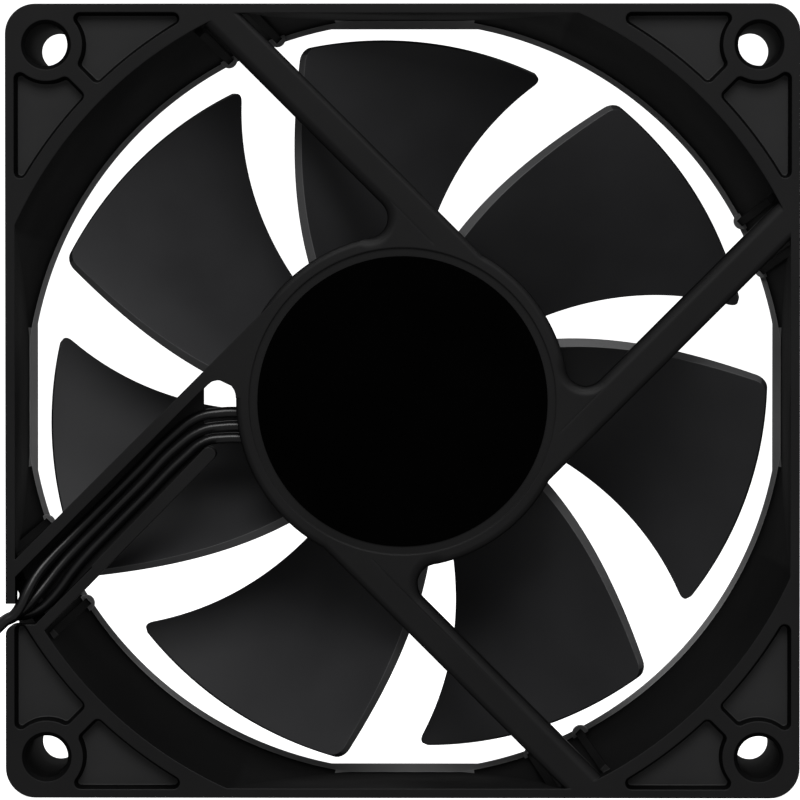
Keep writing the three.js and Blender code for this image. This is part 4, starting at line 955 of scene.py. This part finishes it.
FRAME_COLOUR = (0.0064, 0.0063, 0.0066)
materials = {
    "black_plastic": moulded("black_plastic", FRAME_COLOUR, 0.5, Specular_IOR_Level=0.22),
    "pocket_plastic": moulded("pocket_plastic", (0.0175, 0.0175, 0.018), 0.5, grain=0.3, grain_depth=0.002,
                              Specular_IOR_Level=0.35),
    # Painted shade: the duct's inside is the frame's plastic, darkened for the shade deep in the duct.
    "duct_painted_shade": moulded("duct_painted_shade", (0.0035, 0.0035, 0.0036), 0.6, grain=0.4, grain_depth=0.002,
                            Specular_IOR_Level=0.02),
    # Painted shade: the steep walls of the pockets and screw holes are near-black for the shade in these
    # recesses.
    "wall_painted_shade": moulded("wall_painted_shade", (0.0025, 0.0025, 0.0026), 0.6, grain=0.3, grain_depth=0.002,
                            Specular_IOR_Level=0.05),
    # Painted light: the ledge and pads at the duct's lower end are pale grey for the light reaching them from
    # behind.
    "ledge_painted_light": moulded("ledge_painted_light", (0.27, 0.27, 0.272), 0.4, grain=0.3, grain_depth=0.002),
    # Painted highlight: the blades' trailing-edge rims are paler for the light they catch from behind.
    "rim_painted_highlight": moulded("rim_painted_highlight", (0.09, 0.09, 0.092), 0.5, grain=0.25, grain_depth=0.002),
    "blade_plastic": moulded("blade_plastic", (0.034, 0.034, 0.036), 0.55, grain=0.25, grain_depth=0.002,
                             edge=0.15, Specular_IOR_Level=0.35),
    # The label's edges get a faint painted highlight.
    "label_film": moulded("label_film", (0.0002, 0.0002, 0.0002), 0.6, grain_depth=0.001, edge=0.05,
                          highlight_colour=(0.0008, 0.0008, 0.0008), Specular_IOR_Level=0.01),
    "black_rubber": moulded("black_rubber", (0.02, 0.02, 0.02), 0.8, grain=0.3),
    "white_nylon": moulded("white_nylon", (0.78, 0.76, 0.68), 0.45, grain=0.4, grain_depth=0.003),
    "ferrite": moulded("ferrite", (0.035, 0.035, 0.04), 0.65, grain=0.2, grain_depth=0.02),
    "board_resin": moulded("board_resin", (0.02, 0.12, 0.05), 0.4, grain=0.5, grain_depth=0.004),
    "black_resin": moulded("black_resin", (0.02, 0.02, 0.022), 0.55),
    "ceramic": moulded("ceramic", (0.42, 0.32, 0.22), 0.6, grain=0.1),
    "wire_sleeve": moulded("wire_sleeve", (0.006, 0.006, 0.0065), 0.28, grain=0.5, grain_depth=0.004,
                           edge=0.05),
    "tie_nylon": moulded("tie_nylon", (0.02, 0.02, 0.02), 0.4, grain=0.4, grain_depth=0.003),
    "connector_plastic": moulded("connector_plastic", (0.016, 0.016, 0.017), 0.38, grain=0.3,
                                 grain_depth=0.003),
    "brass_tube": metal("brass_tube", (0.68, 0.47, 0.18), 0.3, stretch=(1, 8, 1)),
    "sintered_bronze": metal("sintered_bronze", (0.36, 0.24, 0.13), 0.5, 0.12, depth=0.01),
    "bright_steel": metal("bright_steel", (0.55, 0.56, 0.58), 0.22, stretch=(1, 8, 1)),
    "dull_steel": metal("dull_steel", (0.32, 0.33, 0.34), 0.4),
    "core_steel": metal("core_steel", (0.25, 0.26, 0.28), 0.42, 0.35, (0.05, 1, 0.05), 0.03),
    "solder": metal("solder", (0.6, 0.61, 0.63), 0.25, 0.4, depth=0.01),
    "tin_contact": metal("tin_contact", (0.6, 0.6, 0.58), 0.3, 0.3),
    "copper_wire": winding_copper(),
}


# ---- Pieces --------------------------------------------------------------------------------------


def as_piece(obj, name, body, slot, *nodes, sharp=25, stand=True):
    """A finished solid as a named piece of the object, in place of its CAD nodes."""
    obj.name = name
    obj.data.name = name
    if stand:
        obj.data.transform(STAND)
    else:
        obj.data.transform(Matrix.Scale(MM, 4))
    obj.data.materials.clear()
    obj.data.materials.append(materials[slot])
    obj.data.shade_smooth()
    obj.data.set_sharp_from_angle(angle=math.radians(sharp))
    weighted = obj.modifiers.new("weighted", "WEIGHTED_NORMAL")
    weighted.keep_sharp = True
    weighted.weight = 100
    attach(obj, body)
    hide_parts(*nodes)
    return obj


# A margin round the zones, the ledge's radii, and how far a face's normal leans where its zone ends.
ZONE_EDGE = 0.05
LEDGE_ZONE = (43, 46.5)
STEEP = 0.3
FLAT = 0.9
RIM_FORWARD = 0.5
RIM_UPWARD = 0.2


def frame_zones(mesh):
    """Gives the pocket floors their own finish, the duct and the steep walls darker colours as painted shade,
    and the ledge at the duct's lower end a pale colour as painted light.
    """
    for name in ("pocket_plastic", "duct_painted_shade", "ledge_painted_light", "wall_painted_shade"):
        mesh.materials.append(materials[name])
    for face in mesh.polygons:
        x, y, z = STAND.inverted() @ face.center
        radius = math.hypot(x, y)
        inward = face.normal.x * x + face.normal.z * y < 0
        in_duct = max(radius / OPENING_R, abs(x) / OPENING_FLAT, abs(y) / OPENING_FLAT) < 1 + ZONE_EDGE
        outside = max(abs(x), abs(y)) > SIDE / 2 - ZONE_EDGE
        ledge = LEDGE_ZONE[0] < radius < LEDGE_ZONE[1] and ZONE_EDGE < z < PAD_Z[1] + ZONE_EDGE
        in_bore = math.hypot(abs(x) - HOLE_OFFSET, abs(y) - HOLE_OFFSET) < HOLE_R_EXHAUST + HOLE_CHAMFER
        steep = abs(face.normal.y) < STEEP and DEPTH - POCKET_DEPTH < z < DEPTH - ZONE_EDGE / 2
        steep = steep or in_bore and abs(face.normal.y) < FLAT
        if abs(z - DEPTH + POCKET_DEPTH) < ZONE_EDGE and radius > OPENING_R:
            face.material_index = 1
        elif ledge and not outside:
            face.material_index = 3
        elif LEDGE_ZONE[0] < radius and in_duct and inward and z < DEPTH - ZONE_EDGE:
            face.material_index = 2
        elif steep and not outside and radius > BASE_R - ZONE_EDGE:
            face.material_index = 4


def impeller_zones(mesh):
    """Gives the narrow faces along the blades' trailing edges a paler colour, a painted highlight."""
    mesh.materials.append(materials["rim_painted_highlight"])
    for face in mesh.polygons:
        x, y, _ = STAND.inverted() @ face.center
        forward = (face.normal.z * x - face.normal.x * y) / math.hypot(x, y)
        if forward > RIM_FORWARD and -face.normal.y > RIM_UPWARD and math.hypot(x, y) > HUB_R + ZONE_EDGE:
            face.material_index = 1


housing = as_piece(frame_solid(), "frame_moulding", "frame", "black_plastic", "frame_housing")
frame_zones(housing.data)
impeller = as_piece(impeller_solid(), "fan_impeller", "rotor", "blade_plastic", "impeller")
impeller_zones(impeller.data)
as_piece(label_solid(), "hub_label", "frame", "label_film", "label_disc")
tie = as_piece(tie_solid(), "cable_tie", "frame", "tie_nylon", "coil_tie", stand=False)
plug = as_piece(housing_solid(), "fan_plug", "frame", "connector_plastic", "connector_housing", stand=False)

for wire, lead in enumerate(leads):
    number = wire + 1
    lead.data.materials.append(materials["wire_sleeve"])
    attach(lead, "frame")
    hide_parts(f"wire_lead_{number}", f"wire_tail_{number}")
    pieces = [frame["nodes"][f"connector_contact_{number}"]]
    if number == 2:
        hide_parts("wire_coil")
        pieces += [plug, tie]

for row in frame["record"]["subparts"]:
    node = frame["nodes"][row["node"]]
    node.data.materials.clear()
    node.data.materials.append(materials[row["material_slot"]])

# ---- Floor and light -----------------------------------------------------------------------------


def plane(name, corners, material):
    mesh = bpy.data.meshes.new(name)
    mesh.from_pydata(corners, [], [[0, 1, 2, 3]])
    obj = bpy.data.objects.new(name, mesh)
    bpy.context.scene.collection.objects.link(obj)
    mesh.materials.append(material)
    return obj


STUDIO_REACH = 3
WORLD_LIGHT = 0.24
LIT_POINT = (0, 0, STAND[2][3])


def studio():
    pale = Shader("studio_white", (0.9, 0.9, 0.9), 0.9, Emission_Color=(1, 1, 1, 1), Emission_Strength=1.0)
    reach = STUDIO_REACH
    floor = plane("floor", [(-reach, -reach, 0), (reach, -reach, 0), (reach, reach, 0), (-reach, reach, 0)],
                  pale.material)
    wall = plane("backdrop", [(-reach, reach, 0), (reach, reach, 0), (reach, reach, reach),
                              (-reach, reach, reach)], pale.material)
    for obj in (floor, wall):
        obj.visible_diffuse = False
        obj.visible_glossy = False
    world = bpy.data.worlds.new("world")
    bpy.context.scene.world = world
    world.use_nodes = True
    world.node_tree.nodes["Background"].inputs["Color"].default_value = (1, 1, 1, 1)
    world.node_tree.nodes["Background"].inputs["Strength"].default_value = WORLD_LIGHT


def softbox(name, place, size, power):
    data = bpy.data.lights.new(name, "AREA")
    data.shape = "RECTANGLE"
    data.size, data.size_y = size
    data.energy = power
    light = bpy.data.objects.new(name, data)
    light.location = place
    light.rotation_euler = (Vector(LIT_POINT) - Vector(place)).to_track_quat("-Z", "Y").to_euler()
    bpy.context.scene.collection.objects.link(light)


studio()
softbox("key", (0, -1, 0.75), (0.7, 0.6), 5.5)
softbox("top", (0, -0.15, 0.9), (1, 0.5), 3)
bpy.context.scene.view_settings.view_transform = "Standard"
